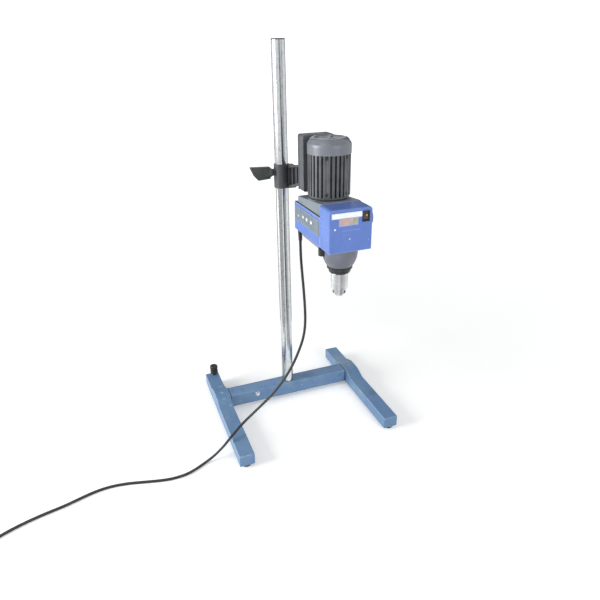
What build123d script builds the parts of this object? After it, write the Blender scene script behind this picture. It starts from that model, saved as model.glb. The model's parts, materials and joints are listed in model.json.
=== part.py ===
"""Overhead stirrer on an H-shaped stand, in millimetres.

Z is up, X runs along the crossbar and the stirring head looks towards -Y. The origin lies on
the floor, midway between the back of the legs and the front of the head.
"""

from build123d import *
from math import atan2, cos, degrees, hypot, pi, radians, sin, tan
import os

os.makedirs("parts", exist_ok=True)

# Fits
seat_gap = 0.1  # between pieces that are bolted or pressed together
run_gap = 0.05  # radial, where one piece turns or slides in another
free_gap = 0.3  # between pieces that pass each other without touching

# H-shaped base
foot_height = 8.0
foot_radius = 14.0
foot_inset = 17.5
foot_stud_radius = 4.0
foot_stud_length = 10.0
leg_length = 420.0
leg_width = 41.0
leg_height = 32.5
leg_span = 461.0
leg_wall = 10.0
leg_end_block = 46.0
leg_corner = 2.0
leg_rear_reach = 142.0  # from the column's axis to the back of the legs
hump_rise = 13.4
hump_flat = 47.0
hump_ramp = 36.5
crossbar_depth = 46.0
crossbar_height = 42.4
crossbar_wall = 4.0
crossbar_lift = 11.0
crossbar_corner = 5.0
end_block_grip = 45.0  # how far each end block reaches into the crossbar
set_screw_radius = 4.0
set_screw_length = 26.0
earth_bolt_offset = 105.0
earth_bolt_drop = 13.0
earth_bolt_radius = 3.0
earth_washer_radius = 7.0
earth_head_height = 5.5

# Levelling screw at the back of the left leg
level_inset = 12.2
level_offset = 204.0
level_screw_radius = 5.0
level_nose_radius = 3.5
level_knob_lift = 7.5
level_skirt_radius = 11.8
level_skirt_height = 11.0
level_waist_radius = 7.5
level_waist_height = 3.0
level_knob_radius = 12.0
level_knob_height = 12.0
level_pad_radius = 10.5
level_pad_height = 6.0

# Column
column_radius = 17.0
column_wall = 2.5
column_top = 1010.0
column_cap_height = 3.0
column_cap_depth = 18.0

# Head, seen from the front
head_x = 22.0  # the head's middle stands to the right of the column
cover_reach = 374.0  # from the column's axis to the front cover's face
switch_proud = 2.5
housing_base = 595.0
housing_width = 99.2
housing_wall = 3.0
housing_length = 206.0
side_height = 66.0
front_cover_height = 94.0
front_cover_depth = 51.0
front_cover_corner = 8.0
front_cover_edge = 2.5
base_plate_thickness = 5.0
pan_drop = 5.0
pan_inset = 0.8
pan_front_reach = 315.0
pan_rear_reach = 220.0
deck_front_rise = 29.0
deck_rear_rise = 16.0
deck_rear_inset = 17.0
deck_side_inset = 3.2
deck_flange = 5.0
deck_wall = 4.0
deck_roof = 7.0

# Motor
motor_reach = 258.0  # from the column's axis to the motor's axis
motor_seat_rise = 25.0  # of the deck's round seat above the seam
motor_spigot_radius = 16.0
motor_spigot_height = 4.0
motor_flange_radius = 45.0
motor_flange_height = 8.0
motor_flange_chamfer = 5.0
motor_core_radius = 40.0
motor_bore_radius = 33.5
fin_radius = 47.2
fin_count = 30
fin_thickness = 5.4
motor_boss_width = 15.0
motor_boss_angle = 30.0
motor_frame_height = 89.3
motor_pad_width = 60.0
fan_cover_radius = 48.2
fan_cover_height = 33.0
fan_cover_corner = 12.0
fan_cover_wall = 2.2
fan_cover_dish = 1.2
end_shield_height = 7.0
motor_shaft_radius = 5.0
motor_bearing_radius = 13.0
motor_bearing_height = 7.0
stator_height = 56.0
rotor_radius = 20.0
rotor_height = 50.0
air_gap = 0.5
fan_radius = 41.0
fan_hub_radius = 9.0
fan_height = 15.0
fan_blades = 8
fan_blade_thickness = 2.0
tie_bolt_radius = 2.0
tie_bolt_circle = 43.0
tie_head_radius = 3.6
tie_head_height = 3.2
tie_recess_radius = 4.2
tie_recess_depth = 9.0

# Box behind the motor, and the arm that carries the head
box_width = 74.4
box_shift = 4.2  # the box's middle stands this far to the left of the head's
box_depth = 25.0
box_wall = 2.5
box_corner = 5.0
box_lift = 95.0  # underside of the box above the housing's base
box_height = 125.0
box_gap = 0.8  # between the fan cover and the box
box_boss_radius = 6.0
capacitor_radius = 10.5
capacitor_length = 60.0
arm_plate_thickness = 8.0
arm_beam_width = 20.0
arm_web_thickness = 5.0
arm_flange_thickness = 5.0
arm_rear_gap = 15.0  # from the column's axis to where the beam's flanges begin
arm_slope = 0.2
arm_rib_pitch = 31.0
arm_rib_thickness = 4.0
arm_neck_length = 30.0
arm_shelf_length = 48.0
arm_window_width = 12.0
arm_window_height = 18.0
arm_window_reach = 61.0
arm_bolt_radius = 3.0
arm_bolt_head = 5.0
arm_bolt_bite = 8.5
arm_bolt_spacing_x = 44.0
arm_bolt_spacing_z = 60.0

# Clamp
sleeve_lift = 60.6  # underside of the sleeve above the housing's base
sleeve_height = 60.4
sleeve_radius = 20.4
liner_wall = 1.15
liner_lip = 0.8
clamp_boss_radius = 9.0
clamp_boss_reach = 27.0
clamp_screw_drop = 20.0  # the screw's axis below the sleeve's top
clamp_screw_radius = 5.0
clamp_pad_radius = 4.8
clamp_pad_length = 3.7
clamp_hub_radius = 8.0
clamp_hub_length = 6.0
handle_reach = 86.0
handle_root_rise = 15.0
handle_tip_rise = 17.5
handle_nose = 21.0
handle_thickness = 14.0
handle_round = 2.0
swivel_limit = 40.0

# Drive train
spindle_reach = 321.0  # from the column's axis to the output spindle
layshaft_offset = 18.0
gear_module = 1.5
gear_width = 9.0
range_gear_width = 7.0
low_pinion_teeth = 16
low_gear_teeth = 38
high_pinion_teeth = 30
high_gear_teeth = 24
tooth_thickness = 0.38  # of the pitch, at the pitch circle
low_gear_lift = 6.0  # above the housing's base
clutch_travel = 4.9
clutch_height = 6.0
clutch_radius = 14.0
clutch_groove = 2.5
friction_wheel_radius = 20.0
friction_wheel_width = 6.0
wheel_spacing = 3.0
roller_height = 10.0
bridge_lift = 46.0
bridge_thickness = 4.0
bridge_width = 88.0
bridge_front_margin = 35.0
bridge_rear_margin = 10.0
bridge_roller_gap = 4.0
post_radius = 4.0
layshaft_radius = 5.0
layshaft_socket = 3.0
spindle_radius = 6.0
spindle_neck_radius = 10.0
spindle_tail_radius = 7.0
spindle_step_rise = 24.0
bridge_bearing_radius = 9.0
neck_bearing_radius = 15.0
neck_bearing_height = 9.0

# Controls
speed_knob_radius = 21.0
speed_knob_thickness = 11.0
speed_knob_gap = 1.0
speed_reach = 337.0
speed_lift = 62.0
speed_shaft_radius = 4.0
speed_pinion_teeth = 12
rack_module = 1.0
rack_length = 44.0
rack_width = 8.0
rack_offset = 12.0
rack_backlash = 0.25
selector_offset = 41.5
selector_reach = 317.0
selector_radius = 8.2
selector_height = 15.7
selector_shaft_radius = 2.5
selector_shaft_rise = 30.0
selector_grips = 10
selector_grip_radius = 1.4
fork_thickness = 3.0
fork_hub_wall = 2.0
fork_arm_width = 6.0
fork_rim = 4.5
switch_width = 16.5
switch_height = 23.0
switch_offset = 33.7
switch_lift = 74.8
switch_depth = 16.0
switch_border = 1.6
switch_wall = 0.8
rocker_gap = 0.4
rocker_face = 7.2
rocker_dip = 1.1
rocker_pivot_depth = 6.0
rocker_tilt = 7.0
title_width = 69.0
title_height = 11.0
title_offset = -9.7
title_lift = 80.8
window_width = 43.7
window_height = 16.0
window_offset = -6.3
panel_sink = 0.6
panel_thickness = 1.0
side_plate_length = 143.0
side_plate_height = 36.0
side_plate_lift = 41.5
side_plate_margin = 2.0

# Neck and chuck
neck_radius = 39.5
neck_straight = 15.0
neck_height = 47.0
neck_floor = 5.0
neck_cavity_radius = 32.0
neck_cavity_depth = 20.0
collar_radius = 28.8
collar_land = 6.5
collar_taper = 10.5
collar_low_radius = 20.4
spindle_clearance = 1.0
chuck_gap = 1.0
chuck_top_radius = 19.6
chuck_low_radius = 18.8
chuck_sleeve_height = 39.0
chuck_sleeve_round = 1.5
chuck_body_radius = 15.1
chuck_nose_radius = 9.2
chuck_nose_height = 17.0
chuck_nose_taper = 8.0
chuck_bore_radius = 5.2
chuck_bore_depth = 26.0
chuck_web = 4.0
chuck_angle = 10.0
jaw_radius = 2.5
jaw_length = 20.0
jaw_tilt = 11.0
jaw_standoff = 7.9  # from the chuck's axis to a jaw's tip, with the jaws drawn back
jaw_tip_rise = 2.5
key_hole_radius = 2.2
key_hole_depth = 4.0
key_hole_drop = 4.0

# Mains lead
cord_radius = 3.5
gland_neck_radius = 4.3
gland_radius = 6.0
gland_tip_radius = 4.3
gland_collar = 5.0
gland_length = 29.0
gland_offset = 42.0
gland_reach = 185.0
coil_x = -850.0
coil_reach = 345.0
coil_inner_radius = 31.5
coil_outer_radius = 45.5
coil_height = 14.2
plug_radius = 18.0
plug_length = 38.0
plug_neck_length = 22.0
plug_neck_radius = 7.5
pin_radius = 2.4
pin_length = 19.0
pin_spacing = 19.0

# Places that follow from the sizes above
column_y = (cover_reach + switch_proud - leg_rear_reach) / 2
leg_rear_y = column_y + leg_rear_reach
leg_front_y = leg_rear_y - leg_length
leg_centre_x = (leg_span - leg_width) / 2
leg_inner_x = leg_span / 2 - leg_width
leg_top = foot_height + leg_height
hump_top = leg_top + hump_rise
crossbar_top = crossbar_lift + crossbar_height
crossbar_middle = crossbar_lift + crossbar_height / 2
crossbar_bore_depth = crossbar_depth - 2 * crossbar_wall
crossbar_bore_height = crossbar_height - 2 * crossbar_wall
level_x = -level_offset
level_y = leg_rear_y - level_inset
front_y = column_y - cover_reach
cover_rear_y = front_y + front_cover_depth
housing_rear_y = front_y + housing_length
seam_z = housing_base + side_height
half_width = housing_width / 2
inner_half_width = half_width - housing_wall
tray_half_width = inner_half_width - seat_gap
tray_rear_y = housing_rear_y - housing_wall - seat_gap
base_plate_top = housing_base + base_plate_thickness
deck_half_width = half_width - deck_side_inset
deck_rear_y = housing_rear_y - deck_rear_inset
deck_front_top = seam_z + deck_front_rise
deck_rear_top = seam_z + deck_rear_rise
motor_y = column_y - motor_reach
motor_base = seam_z + motor_seat_rise
frame_base = motor_base + motor_flange_height
frame_top = frame_base + motor_frame_height
shield_base = frame_top - end_shield_height
spindle_y = column_y - spindle_reach
layshaft_x = head_x + layshaft_offset
gear_centres = gear_module * (low_pinion_teeth + low_gear_teeth) / 2
layshaft_y = spindle_y + (gear_centres**2 - layshaft_offset**2) ** 0.5
roller_radius = hypot(layshaft_offset, motor_y - layshaft_y) - friction_wheel_radius - free_gap
low_gear_z = housing_base + low_gear_lift
clutch_z = low_gear_z + gear_width + free_gap
high_gear_z = clutch_z + clutch_height + clutch_travel + free_gap
friction_wheel_z = high_gear_z + range_gear_width + wheel_spacing
roller_z = friction_wheel_z - (roller_height - friction_wheel_width) / 2
bridge_z = housing_base + bridge_lift
bridge_top = bridge_z + bridge_thickness
neck_base = housing_base - neck_height
collar_base = neck_base - collar_land - collar_taper
chuck_top = collar_base - chuck_gap
chuck_sleeve_base = chuck_top - chuck_sleeve_height
chuck_base = chuck_sleeve_base - chuck_nose_height
spindle_base = chuck_base + chuck_bore_depth + chuck_web
box_front_y = motor_y + fan_cover_radius + box_gap
box_rear_y = box_front_y + box_depth
plate_rear_y = box_rear_y + arm_plate_thickness
box_base = housing_base + box_lift
box_middle = box_base + box_height / 2
box_x = head_x - box_shift
arm_bolt_z = frame_base + motor_frame_height / 2
sleeve_base = housing_base + sleeve_lift
sleeve_top = sleeve_base + sleeve_height
clamp_screw_z = sleeve_top - clamp_screw_drop
liner_radius = column_radius + run_gap + liner_wall
speed_y = column_y - speed_reach
speed_z = housing_base + speed_lift
rack_x = head_x + rack_offset
selector_x = head_x - selector_offset
selector_y = column_y - selector_reach
selector_top = housing_base - pan_drop - free_gap
selector_base = selector_top - selector_height
gland_x = head_x - gland_offset
gland_y = column_y - gland_reach
cord_exit_z = housing_base - gland_length
coil_y = column_y - coil_reach


def ring_of(radius, inner_radius):
    """Draws a ring in the open sketch."""
    Circle(radius)
    Circle(inner_radius, mode=Mode.SUBTRACT)


def crossbar_bore(clearance):
    """Draws the crossbar's inner outline, drawn in by the clearance."""
    with Locations((column_y, crossbar_middle)):
        RectangleRounded(
            crossbar_bore_depth - 2 * clearance,
            crossbar_bore_height - 2 * clearance,
            crossbar_corner - crossbar_wall,
        )


def make_leg(side, foot_ends):
    """One leg, an upturned channel with solid ends and a hump over the crossbar's end."""
    centre_x = side * leg_centre_x
    with BuildPart() as leg:
        with BuildSketch(Plane.YZ.offset(centre_x - leg_width / 2)):
            with BuildLine():
                Polyline(
                    (leg_front_y, foot_height),
                    (leg_rear_y, foot_height),
                    (leg_rear_y, leg_top),
                    (column_y + hump_flat / 2 + hump_ramp, leg_top),
                    (column_y + hump_flat / 2, hump_top),
                    (column_y - hump_flat / 2, hump_top),
                    (column_y - hump_flat / 2 - hump_ramp, leg_top),
                    (leg_front_y, leg_top),
                    close=True,
                )
            make_face()
        extrude(amount=leg_width)
        fillet(leg.edges().filter_by(Axis.Z), leg_corner)
        with BuildSketch(Plane.XY.offset(foot_height)):
            with Locations((centre_x, leg_front_y + leg_length / 2)):
                Rectangle(leg_width - 2 * leg_wall, leg_length - 2 * leg_end_block)
        extrude(amount=leg_height - leg_wall, mode=Mode.SUBTRACT)
        with BuildSketch(Plane.YZ.offset(side * leg_inner_x)):
            crossbar_bore(0)
        extrude(amount=side * (leg_width - leg_wall), mode=Mode.SUBTRACT)
        with BuildSketch(Plane.XY.offset(hump_top)):
            with Locations((centre_x, column_y)):
                Circle(set_screw_radius + run_gap)
        extrude(amount=-set_screw_length, mode=Mode.SUBTRACT)
        with BuildSketch(Plane.XY.offset(foot_height)):
            with Locations(*foot_ends):
                Circle(foot_stud_radius + seat_gap)
        extrude(amount=foot_stud_length + seat_gap, mode=Mode.SUBTRACT)
        if side < 0:
            with BuildSketch(Plane.XY.offset(foot_height)):
                with Locations((level_x, level_y)):
                    Circle(level_screw_radius + run_gap)
            extrude(amount=leg_height, mode=Mode.SUBTRACT)
    return leg


left_foot = (-leg_centre_x, leg_front_y + foot_inset)
right_feet = [(leg_centre_x, leg_front_y + foot_inset), (leg_centre_x, leg_rear_y - foot_inset)]
left_leg = make_leg(-1, [left_foot])
right_leg = make_leg(1, right_feet)

# Rectangular tube between the legs, drilled for the column and for the earth bolt
bolt_face_y = column_y - crossbar_depth / 2
earth_bolt_place = (-earth_bolt_offset, crossbar_top - earth_bolt_drop)
with BuildPart() as crossbar:
    with BuildSketch(Plane.YZ.offset(-leg_inner_x)):
        with Locations((column_y, crossbar_middle)):
            RectangleRounded(crossbar_depth, crossbar_height, crossbar_corner)
    extrude(amount=2 * leg_inner_x)
    with BuildSketch(Plane.YZ.offset(-leg_inner_x)):
        crossbar_bore(0)
    extrude(amount=2 * leg_inner_x, mode=Mode.SUBTRACT)
    with BuildSketch(Plane.XY.offset(crossbar_lift + crossbar_wall)):
        with Locations((0, column_y)):
            Circle(column_radius + run_gap)
    extrude(amount=crossbar_height, mode=Mode.SUBTRACT)
    with BuildSketch(Plane.XZ.offset(-bolt_face_y)):
        with Locations(earth_bolt_place):
            Circle(earth_bolt_radius + seat_gap)
    extrude(amount=-crossbar_wall, mode=Mode.SUBTRACT)

# Solid blocks that join the crossbar's ends to the legs
with BuildPart() as crossbar_end_blocks:
    for side in (-1, 1):
        with BuildSketch(Plane.YZ.offset(side * (leg_inner_x - end_block_grip))):
            crossbar_bore(seat_gap)
        extrude(amount=side * (end_block_grip + leg_width - leg_wall - seat_gap))
        with BuildSketch(Plane.XY.offset(hump_top)):
            with Locations((side * leg_centre_x, column_y)):
                Circle(set_screw_radius + run_gap)
        extrude(amount=-set_screw_length, mode=Mode.SUBTRACT)

# Set screws down through the humps
set_screw_places = [(-leg_centre_x, column_y), (leg_centre_x, column_y)]
with BuildPart() as leg_screws:
    with BuildSketch(Plane.XY.offset(hump_top - set_screw_length)):
        with Locations(*set_screw_places):
            Circle(set_screw_radius)
    extrude(amount=set_screw_length - 0.6)
    with BuildSketch(Plane.XY.offset(hump_top)):
        with Locations(*set_screw_places):
            RegularPolygon(set_screw_radius * 0.55, 6)
    extrude(amount=-5.0, mode=Mode.SUBTRACT)

# Rubber feet under every leg end but the one with the levelling screw
with BuildPart() as rubber_feet:
    with BuildSketch(Plane.XY):
        with Locations(left_foot, *right_feet):
            Circle(foot_radius)
    extrude(amount=foot_height)
    chamfer(rubber_feet.edges().group_by(Axis.Z)[0], 1.0)
    with BuildSketch(Plane.XY.offset(foot_height)):
        with Locations(left_foot, *right_feet):
            Circle(foot_stud_radius)
    extrude(amount=foot_stud_length)

# Earth bolt with its washer, on the crossbar's front
with BuildPart() as earth_bolt:
    with BuildSketch(Plane.XZ.offset(-bolt_face_y)):
        with Locations(earth_bolt_place):
            Circle(earth_washer_radius)
    extrude(amount=1.2)
    with BuildSketch(Plane.XZ.offset(1.2 - bolt_face_y)):
        with Locations(earth_bolt_place):
            RegularPolygon(1.8 * earth_bolt_radius, 6)
    extrude(amount=earth_head_height)
    with BuildSketch(Plane.XZ.offset(-bolt_face_y)):
        with Locations(earth_bolt_place):
            Circle(earth_bolt_radius)
    extrude(amount=-crossbar_wall - 6.0)

# Chromed steel column, standing on the crossbar's lower wall
column_foot = crossbar_lift + crossbar_wall
column_tube_top = column_top - column_cap_height
with BuildPart() as column_tube:
    with BuildSketch(Plane.XY.offset(column_foot)):
        with Locations((0, column_y)):
            ring_of(column_radius, column_radius - column_wall)
    extrude(amount=column_tube_top - column_foot)

# Plastic cap pushed into the column's top
with BuildPart() as column_cap:
    with BuildSketch(Plane.XY.offset(column_tube_top)):
        with Locations((0, column_y)):
            Circle(column_radius)
    extrude(amount=column_cap_height)
    fillet(column_cap.edges().group_by(Axis.Z)[-1], column_cap_height / 2)
    with BuildSketch(Plane.XY.offset(column_tube_top)):
        with Locations((0, column_y)):
            Circle(column_radius - column_wall - seat_gap)
    extrude(amount=-column_cap_depth)

# Levelling screw with its two-tiered knob, standing in a loose pad
level_skirt_z = leg_top + level_knob_lift
level_nose_z = level_pad_height / 2 + free_gap
with BuildPart() as levelling_screw:
    with BuildSketch(Plane.XY.offset(level_nose_z)):
        with Locations((level_x, level_y)):
            Circle(level_nose_radius)
    extrude(amount=level_pad_height - level_nose_z + free_gap)
    with BuildSketch(Plane.XY.offset(level_pad_height + free_gap)):
        with Locations((level_x, level_y)):
            Circle(level_screw_radius)
    extrude(amount=level_skirt_z - level_pad_height - free_gap)
    with BuildSketch(Plane.XY.offset(level_skirt_z)):
        with Locations((level_x, level_y)):
            Circle(level_skirt_radius)
    extrude(amount=level_skirt_height)
    with BuildSketch(Plane.XY.offset(level_skirt_z + level_skirt_height)):
        with Locations((level_x, level_y)):
            Circle(level_waist_radius)
    extrude(amount=level_waist_height)
    with BuildSketch(Plane.XY.offset(level_skirt_z + level_skirt_height + level_waist_height)):
        with Locations((level_x, level_y)):
            Circle(level_knob_radius)
    extrude(amount=level_knob_height)
    chamfer(levelling_screw.edges().group_by(Axis.Z)[-1], 1.0)

with BuildPart() as levelling_pad:
    with BuildSketch(Plane.XY):
        with Locations((level_x, level_y)):
            Circle(level_pad_radius)
    extrude(amount=level_pad_height)
    chamfer(levelling_pad.edges().group_by(Axis.Z)[0], 1.0)
    with BuildSketch(Plane.XY.offset(level_pad_height / 2)):
        with Locations((level_x, level_y)):
            Circle(level_nose_radius + run_gap)
    extrude(amount=level_pad_height / 2, mode=Mode.SUBTRACT)

# Plastic liner between the column and the clamp, slotted for the swing of the clamping pad
slot_half = liner_radius * sin(radians(swivel_limit + 17.0))
slot_half_height = clamp_pad_radius + 2.0
with BuildPart() as clamp_liner:
    with BuildSketch(Plane.XY.offset(sleeve_base - liner_lip)):
        with Locations((0, column_y)):
            ring_of(liner_radius, column_radius + run_gap)
    extrude(amount=sleeve_height + 2 * liner_lip)
    with BuildSketch(Plane.YZ.offset(-liner_radius - 1.0)):
        with Locations((column_y, clamp_screw_z)):
            Rectangle(2 * slot_half, 2 * slot_half_height)
    extrude(amount=liner_radius - 4.0, mode=Mode.SUBTRACT)

# Cast arm: clamp sleeve, ribbed beam and the plate that closes the box
beam_start_y = column_y - arm_rear_gap
beam_run = beam_start_y - plate_rear_y
beam_top = sleeve_top - 3.0
beam_low = sleeve_base
shelf_start_y = plate_rear_y + arm_shelf_length
arm_bolt_places = [
    (head_x + side_x * arm_bolt_spacing_x / 2, arm_bolt_z + side_z * arm_bolt_spacing_z / 2)
    for side_x in (-1, 1)
    for side_z in (-1, 1)
]


def beam_outline(inset):
    """Corners of the beam's side view, drawn in by the inset."""
    return [
        (beam_start_y, beam_low + inset),
        (beam_start_y, beam_top - inset),
        (plate_rear_y - inset, beam_top + arm_slope * beam_run - inset),
        (plate_rear_y - inset, box_base + inset),
        (shelf_start_y, box_base + inset),
    ]


with BuildPart() as clamp_arm:
    with BuildSketch(Plane.XY.offset(sleeve_base)):
        with Locations((0, column_y)):
            Circle(sleeve_radius)
    extrude(amount=sleeve_height)
    with BuildSketch(Plane.YZ.offset(head_x - arm_beam_width / 2)):
        with BuildLine():
            Polyline(*beam_outline(0), close=True)
        make_face()
    extrude(amount=arm_beam_width)
    for side in (-1, 1):
        with BuildSketch(Plane.YZ.offset(head_x + side * arm_web_thickness / 2)):
            with BuildLine():
                Polyline(*beam_outline(arm_flange_thickness), close=True)
            make_face()
        extrude(amount=side * (arm_beam_width - arm_web_thickness) / 2, mode=Mode.SUBTRACT)
    for rib in range(1, 4):
        rib_y = beam_start_y - rib * arm_rib_pitch
        rib_share = (beam_start_y - rib_y) / (beam_start_y - shelf_start_y)
        rib_low = beam_low + rib_share * (box_base - beam_low) + 2.0
        rib_high = beam_top + arm_slope * (beam_start_y - rib_y) - 2.0
        with BuildSketch(Plane.XY.offset(rib_low)):
            with Locations((head_x, rib_y)):
                Rectangle(arm_beam_width - 2.0, arm_rib_thickness)
        extrude(amount=rib_high - rib_low)
    with BuildSketch(Plane.YZ.offset(head_x - arm_beam_width)):
        with Locations((column_y - arm_window_reach, sleeve_base + sleeve_height / 2)):
            SlotOverall(arm_window_height, arm_window_width, rotation=90)
    extrude(amount=2 * arm_beam_width, mode=Mode.SUBTRACT)
    with BuildSketch(Plane.XY.offset(beam_low)):
        with Locations((head_x, column_y - arm_rear_gap + arm_neck_length / 2 - 7.0)):
            Rectangle(arm_beam_width, arm_neck_length)
    extrude(amount=beam_top - beam_low)
    with BuildSketch(Plane.XY.offset(box_base)):
        with BuildLine():
            Polyline(
                (box_x - box_width / 2, plate_rear_y),
                (box_x + box_width / 2, plate_rear_y),
                (head_x + arm_beam_width / 2, shelf_start_y),
                (head_x - arm_beam_width / 2, shelf_start_y),
                close=True,
            )
        make_face()
    extrude(amount=arm_flange_thickness)
    with BuildSketch(Plane.XZ.offset(-plate_rear_y)):
        with Locations((box_x, box_middle)):
            RectangleRounded(box_width, box_height, box_corner)
        with Locations(*arm_bolt_places):
            Circle(arm_bolt_radius + run_gap, mode=Mode.SUBTRACT)
    extrude(amount=arm_plate_thickness)
    with BuildSketch(Plane.YZ.offset(-clamp_boss_reach)):
        with Locations((column_y, clamp_screw_z)):
            Circle(clamp_boss_radius)
    extrude(amount=clamp_boss_reach - column_radius)
    with BuildSketch(Plane.XY.offset(sleeve_base)):
        with Locations((0, column_y)):
            Circle(liner_radius + run_gap)
    extrude(amount=sleeve_height, mode=Mode.SUBTRACT)
    with BuildSketch(Plane.YZ.offset(-clamp_boss_reach)):
        with Locations((column_y, clamp_screw_z)):
            Circle(clamp_screw_radius + run_gap)
    extrude(amount=clamp_boss_reach, mode=Mode.SUBTRACT)

# Pressure pad at the clamp screw's tip
pad_reach = column_radius + free_gap + clamp_pad_length
with BuildPart() as clamp_pad:
    with BuildSketch(Plane.YZ.offset(-pad_reach)):
        with Locations((column_y, clamp_screw_z)):
            Circle(clamp_pad_radius)
    extrude(amount=clamp_pad_length)

# Clamp screw moulded into its paddle handle
hub_x = -clamp_boss_reach - 2.0
paddle_x = hub_x - clamp_hub_length / 2
with BuildPart() as clamp_screw:
    with BuildSketch(Plane.YZ.offset(hub_x)):
        with Locations((column_y, clamp_screw_z)):
            Circle(clamp_screw_radius)
    extrude(amount=-hub_x - pad_reach - free_gap)
    with BuildSketch(Plane.XZ.offset(-column_y - handle_thickness / 2)):
        with BuildLine():
            Polyline(
                (paddle_x, clamp_screw_z - handle_root_rise),
                (paddle_x, clamp_screw_z + handle_root_rise),
                (-handle_reach, clamp_screw_z + handle_tip_rise),
                (handle_nose / 2 - handle_reach, clamp_screw_z - handle_tip_rise / 3),
                (handle_nose - handle_reach, clamp_screw_z - handle_tip_rise),
                close=True,
            )
        make_face()
    extrude(amount=handle_thickness)
    fillet(clamp_screw.edges().filter_by(Axis.Y), handle_round)
    with BuildSketch(Plane.YZ.offset(hub_x)):
        with Locations((column_y, clamp_screw_z)):
            Circle(clamp_hub_radius)
    extrude(amount=-clamp_hub_length)

# Box behind the motor, open towards the arm's plate
with BuildPart() as motor_box:
    with BuildSketch(Plane.XZ.offset(-box_rear_y)):
        with Locations((box_x, box_middle)):
            RectangleRounded(box_width, box_height, box_corner)
    extrude(amount=box_depth)
    with BuildSketch(Plane.XZ.offset(-box_rear_y)):
        with Locations((box_x, box_middle)):
            RectangleRounded(box_width - 2 * box_wall, box_height - 2 * box_wall, box_corner - box_wall)
    extrude(amount=box_depth - box_wall, mode=Mode.SUBTRACT)
    with BuildSketch(Plane.XZ.offset(-box_rear_y)):
        with Locations(*arm_bolt_places):
            Circle(box_boss_radius)
    extrude(amount=box_depth)
    with BuildSketch(Plane.XZ.offset(-box_rear_y)):
        with Locations(*arm_bolt_places):
            Circle(arm_bolt_radius + run_gap)
    extrude(amount=box_depth, mode=Mode.SUBTRACT)

# Run capacitor, standing in the box
with BuildPart() as run_capacitor:
    with BuildSketch(Plane.XY.offset(box_base + box_wall)):
        with Locations((box_x, (box_front_y + box_wall + box_rear_y) / 2)):
            Circle(capacitor_radius)
    extrude(amount=capacitor_length)
    chamfer(run_capacitor.edges().group_by(Axis.Z)[-1], 1.5)

# Four socket screws through the arm's plate and the box into the motor
with BuildPart() as arm_bolts:
    with BuildSketch(Plane.XZ.offset(-plate_rear_y)):
        with Locations(*arm_bolt_places):
            Circle(arm_bolt_radius)
    extrude(amount=arm_plate_thickness + box_depth + arm_bolt_bite)
    with BuildSketch(Plane.XZ.offset(-plate_rear_y)):
        with Locations(*arm_bolt_places):
            Circle(arm_bolt_head)
            RegularPolygon(arm_bolt_radius * 0.9, 6, mode=Mode.SUBTRACT)
    extrude(amount=-1.5 * arm_bolt_radius)

# Finned motor frame with its flange, screw bosses and the pad for the box
boss_angles = (
    motor_boss_angle - 90,
    -motor_boss_angle - 90,
    motor_boss_angle + 90,
    90 - motor_boss_angle,
)
fin_middle = (motor_core_radius + fin_radius) / 2
pad_depth = box_front_y - motor_y
with BuildPart() as motor_frame:
    with BuildSketch(Plane.XY.offset(frame_base)):
        with Locations((head_x, motor_y)):
            Circle(motor_core_radius)
            with PolarLocations(fin_middle - 1.0, fin_count, start_angle=-90):
                Rectangle(fin_radius - motor_core_radius + 2.0, fin_thickness)
            for angle in boss_angles:
                with PolarLocations(fin_middle - 1.5, 1, start_angle=angle):
                    Rectangle(fin_radius - motor_core_radius + 1.0, motor_boss_width)
            with Locations((0, pad_depth - arm_bolt_bite / 2 - 3.0)):
                Rectangle(motor_pad_width, arm_bolt_bite + 6.0)
            Circle(motor_bore_radius, mode=Mode.SUBTRACT)
    extrude(amount=motor_frame_height)
    with BuildSketch(Plane.XY.offset(motor_base)):
        with Locations((head_x, motor_y)):
            Circle(motor_flange_radius)
    extrude(amount=motor_flange_height)
    chamfer(motor_frame.edges().group_by(Axis.Z)[0], motor_flange_chamfer)
    with BuildSketch(Plane.XY.offset(motor_base)):
        with Locations((head_x, motor_y)):
            Circle(motor_spigot_radius)
    extrude(amount=-motor_spigot_height)
    with BuildSketch(Plane.XY.offset(frame_base)):
        with Locations((head_x, motor_y)):
            Circle(motor_bearing_radius + seat_gap)
    extrude(amount=-motor_bearing_height, mode=Mode.SUBTRACT)
    with BuildSketch(Plane.XY.offset(frame_base)):
        with Locations((head_x, motor_y)):
            Circle(motor_shaft_radius + 1.0)
    extrude(amount=-motor_flange_height - motor_spigot_height, mode=Mode.SUBTRACT)
    for angle in boss_angles:
        with BuildSketch(Plane.XY.offset(frame_top)):
            with Locations((head_x, motor_y)):
                with PolarLocations(tie_bolt_circle + 1.5, 1, start_angle=angle):
                    Circle(tie_recess_radius)
        extrude(amount=-tie_recess_depth, mode=Mode.SUBTRACT)
        with BuildSketch(Plane.XY.offset(frame_top)):
            with Locations((head_x, motor_y)):
                with PolarLocations(tie_bolt_circle, 1, start_angle=angle):
                    Circle(tie_bolt_radius + seat_gap)
        extrude(amount=-motor_frame_height, mode=Mode.SUBTRACT)
    with BuildSketch(Plane.XZ.offset(-box_front_y)):
        with Locations(*arm_bolt_places):
            Circle(arm_bolt_radius + run_gap)
    extrude(amount=arm_bolt_bite + seat_gap, mode=Mode.SUBTRACT)

# Long bolts down the motor's bosses
with BuildPart() as tie_bolts:
    for angle in boss_angles:
        with BuildSketch(Plane.XY.offset(frame_base)):
            with Locations((head_x, motor_y)):
                with PolarLocations(tie_bolt_circle, 1, start_angle=angle):
                    Circle(tie_bolt_radius)
        extrude(amount=motor_frame_height - tie_recess_depth)
        with BuildSketch(Plane.XY.offset(frame_top - tie_recess_depth)):
            with Locations((head_x, motor_y)):
                with PolarLocations(tie_bolt_circle, 1, start_angle=angle):
                    Circle(tie_head_radius - tie_bolt_radius / 2)
        extrude(amount=tie_head_height)

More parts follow.
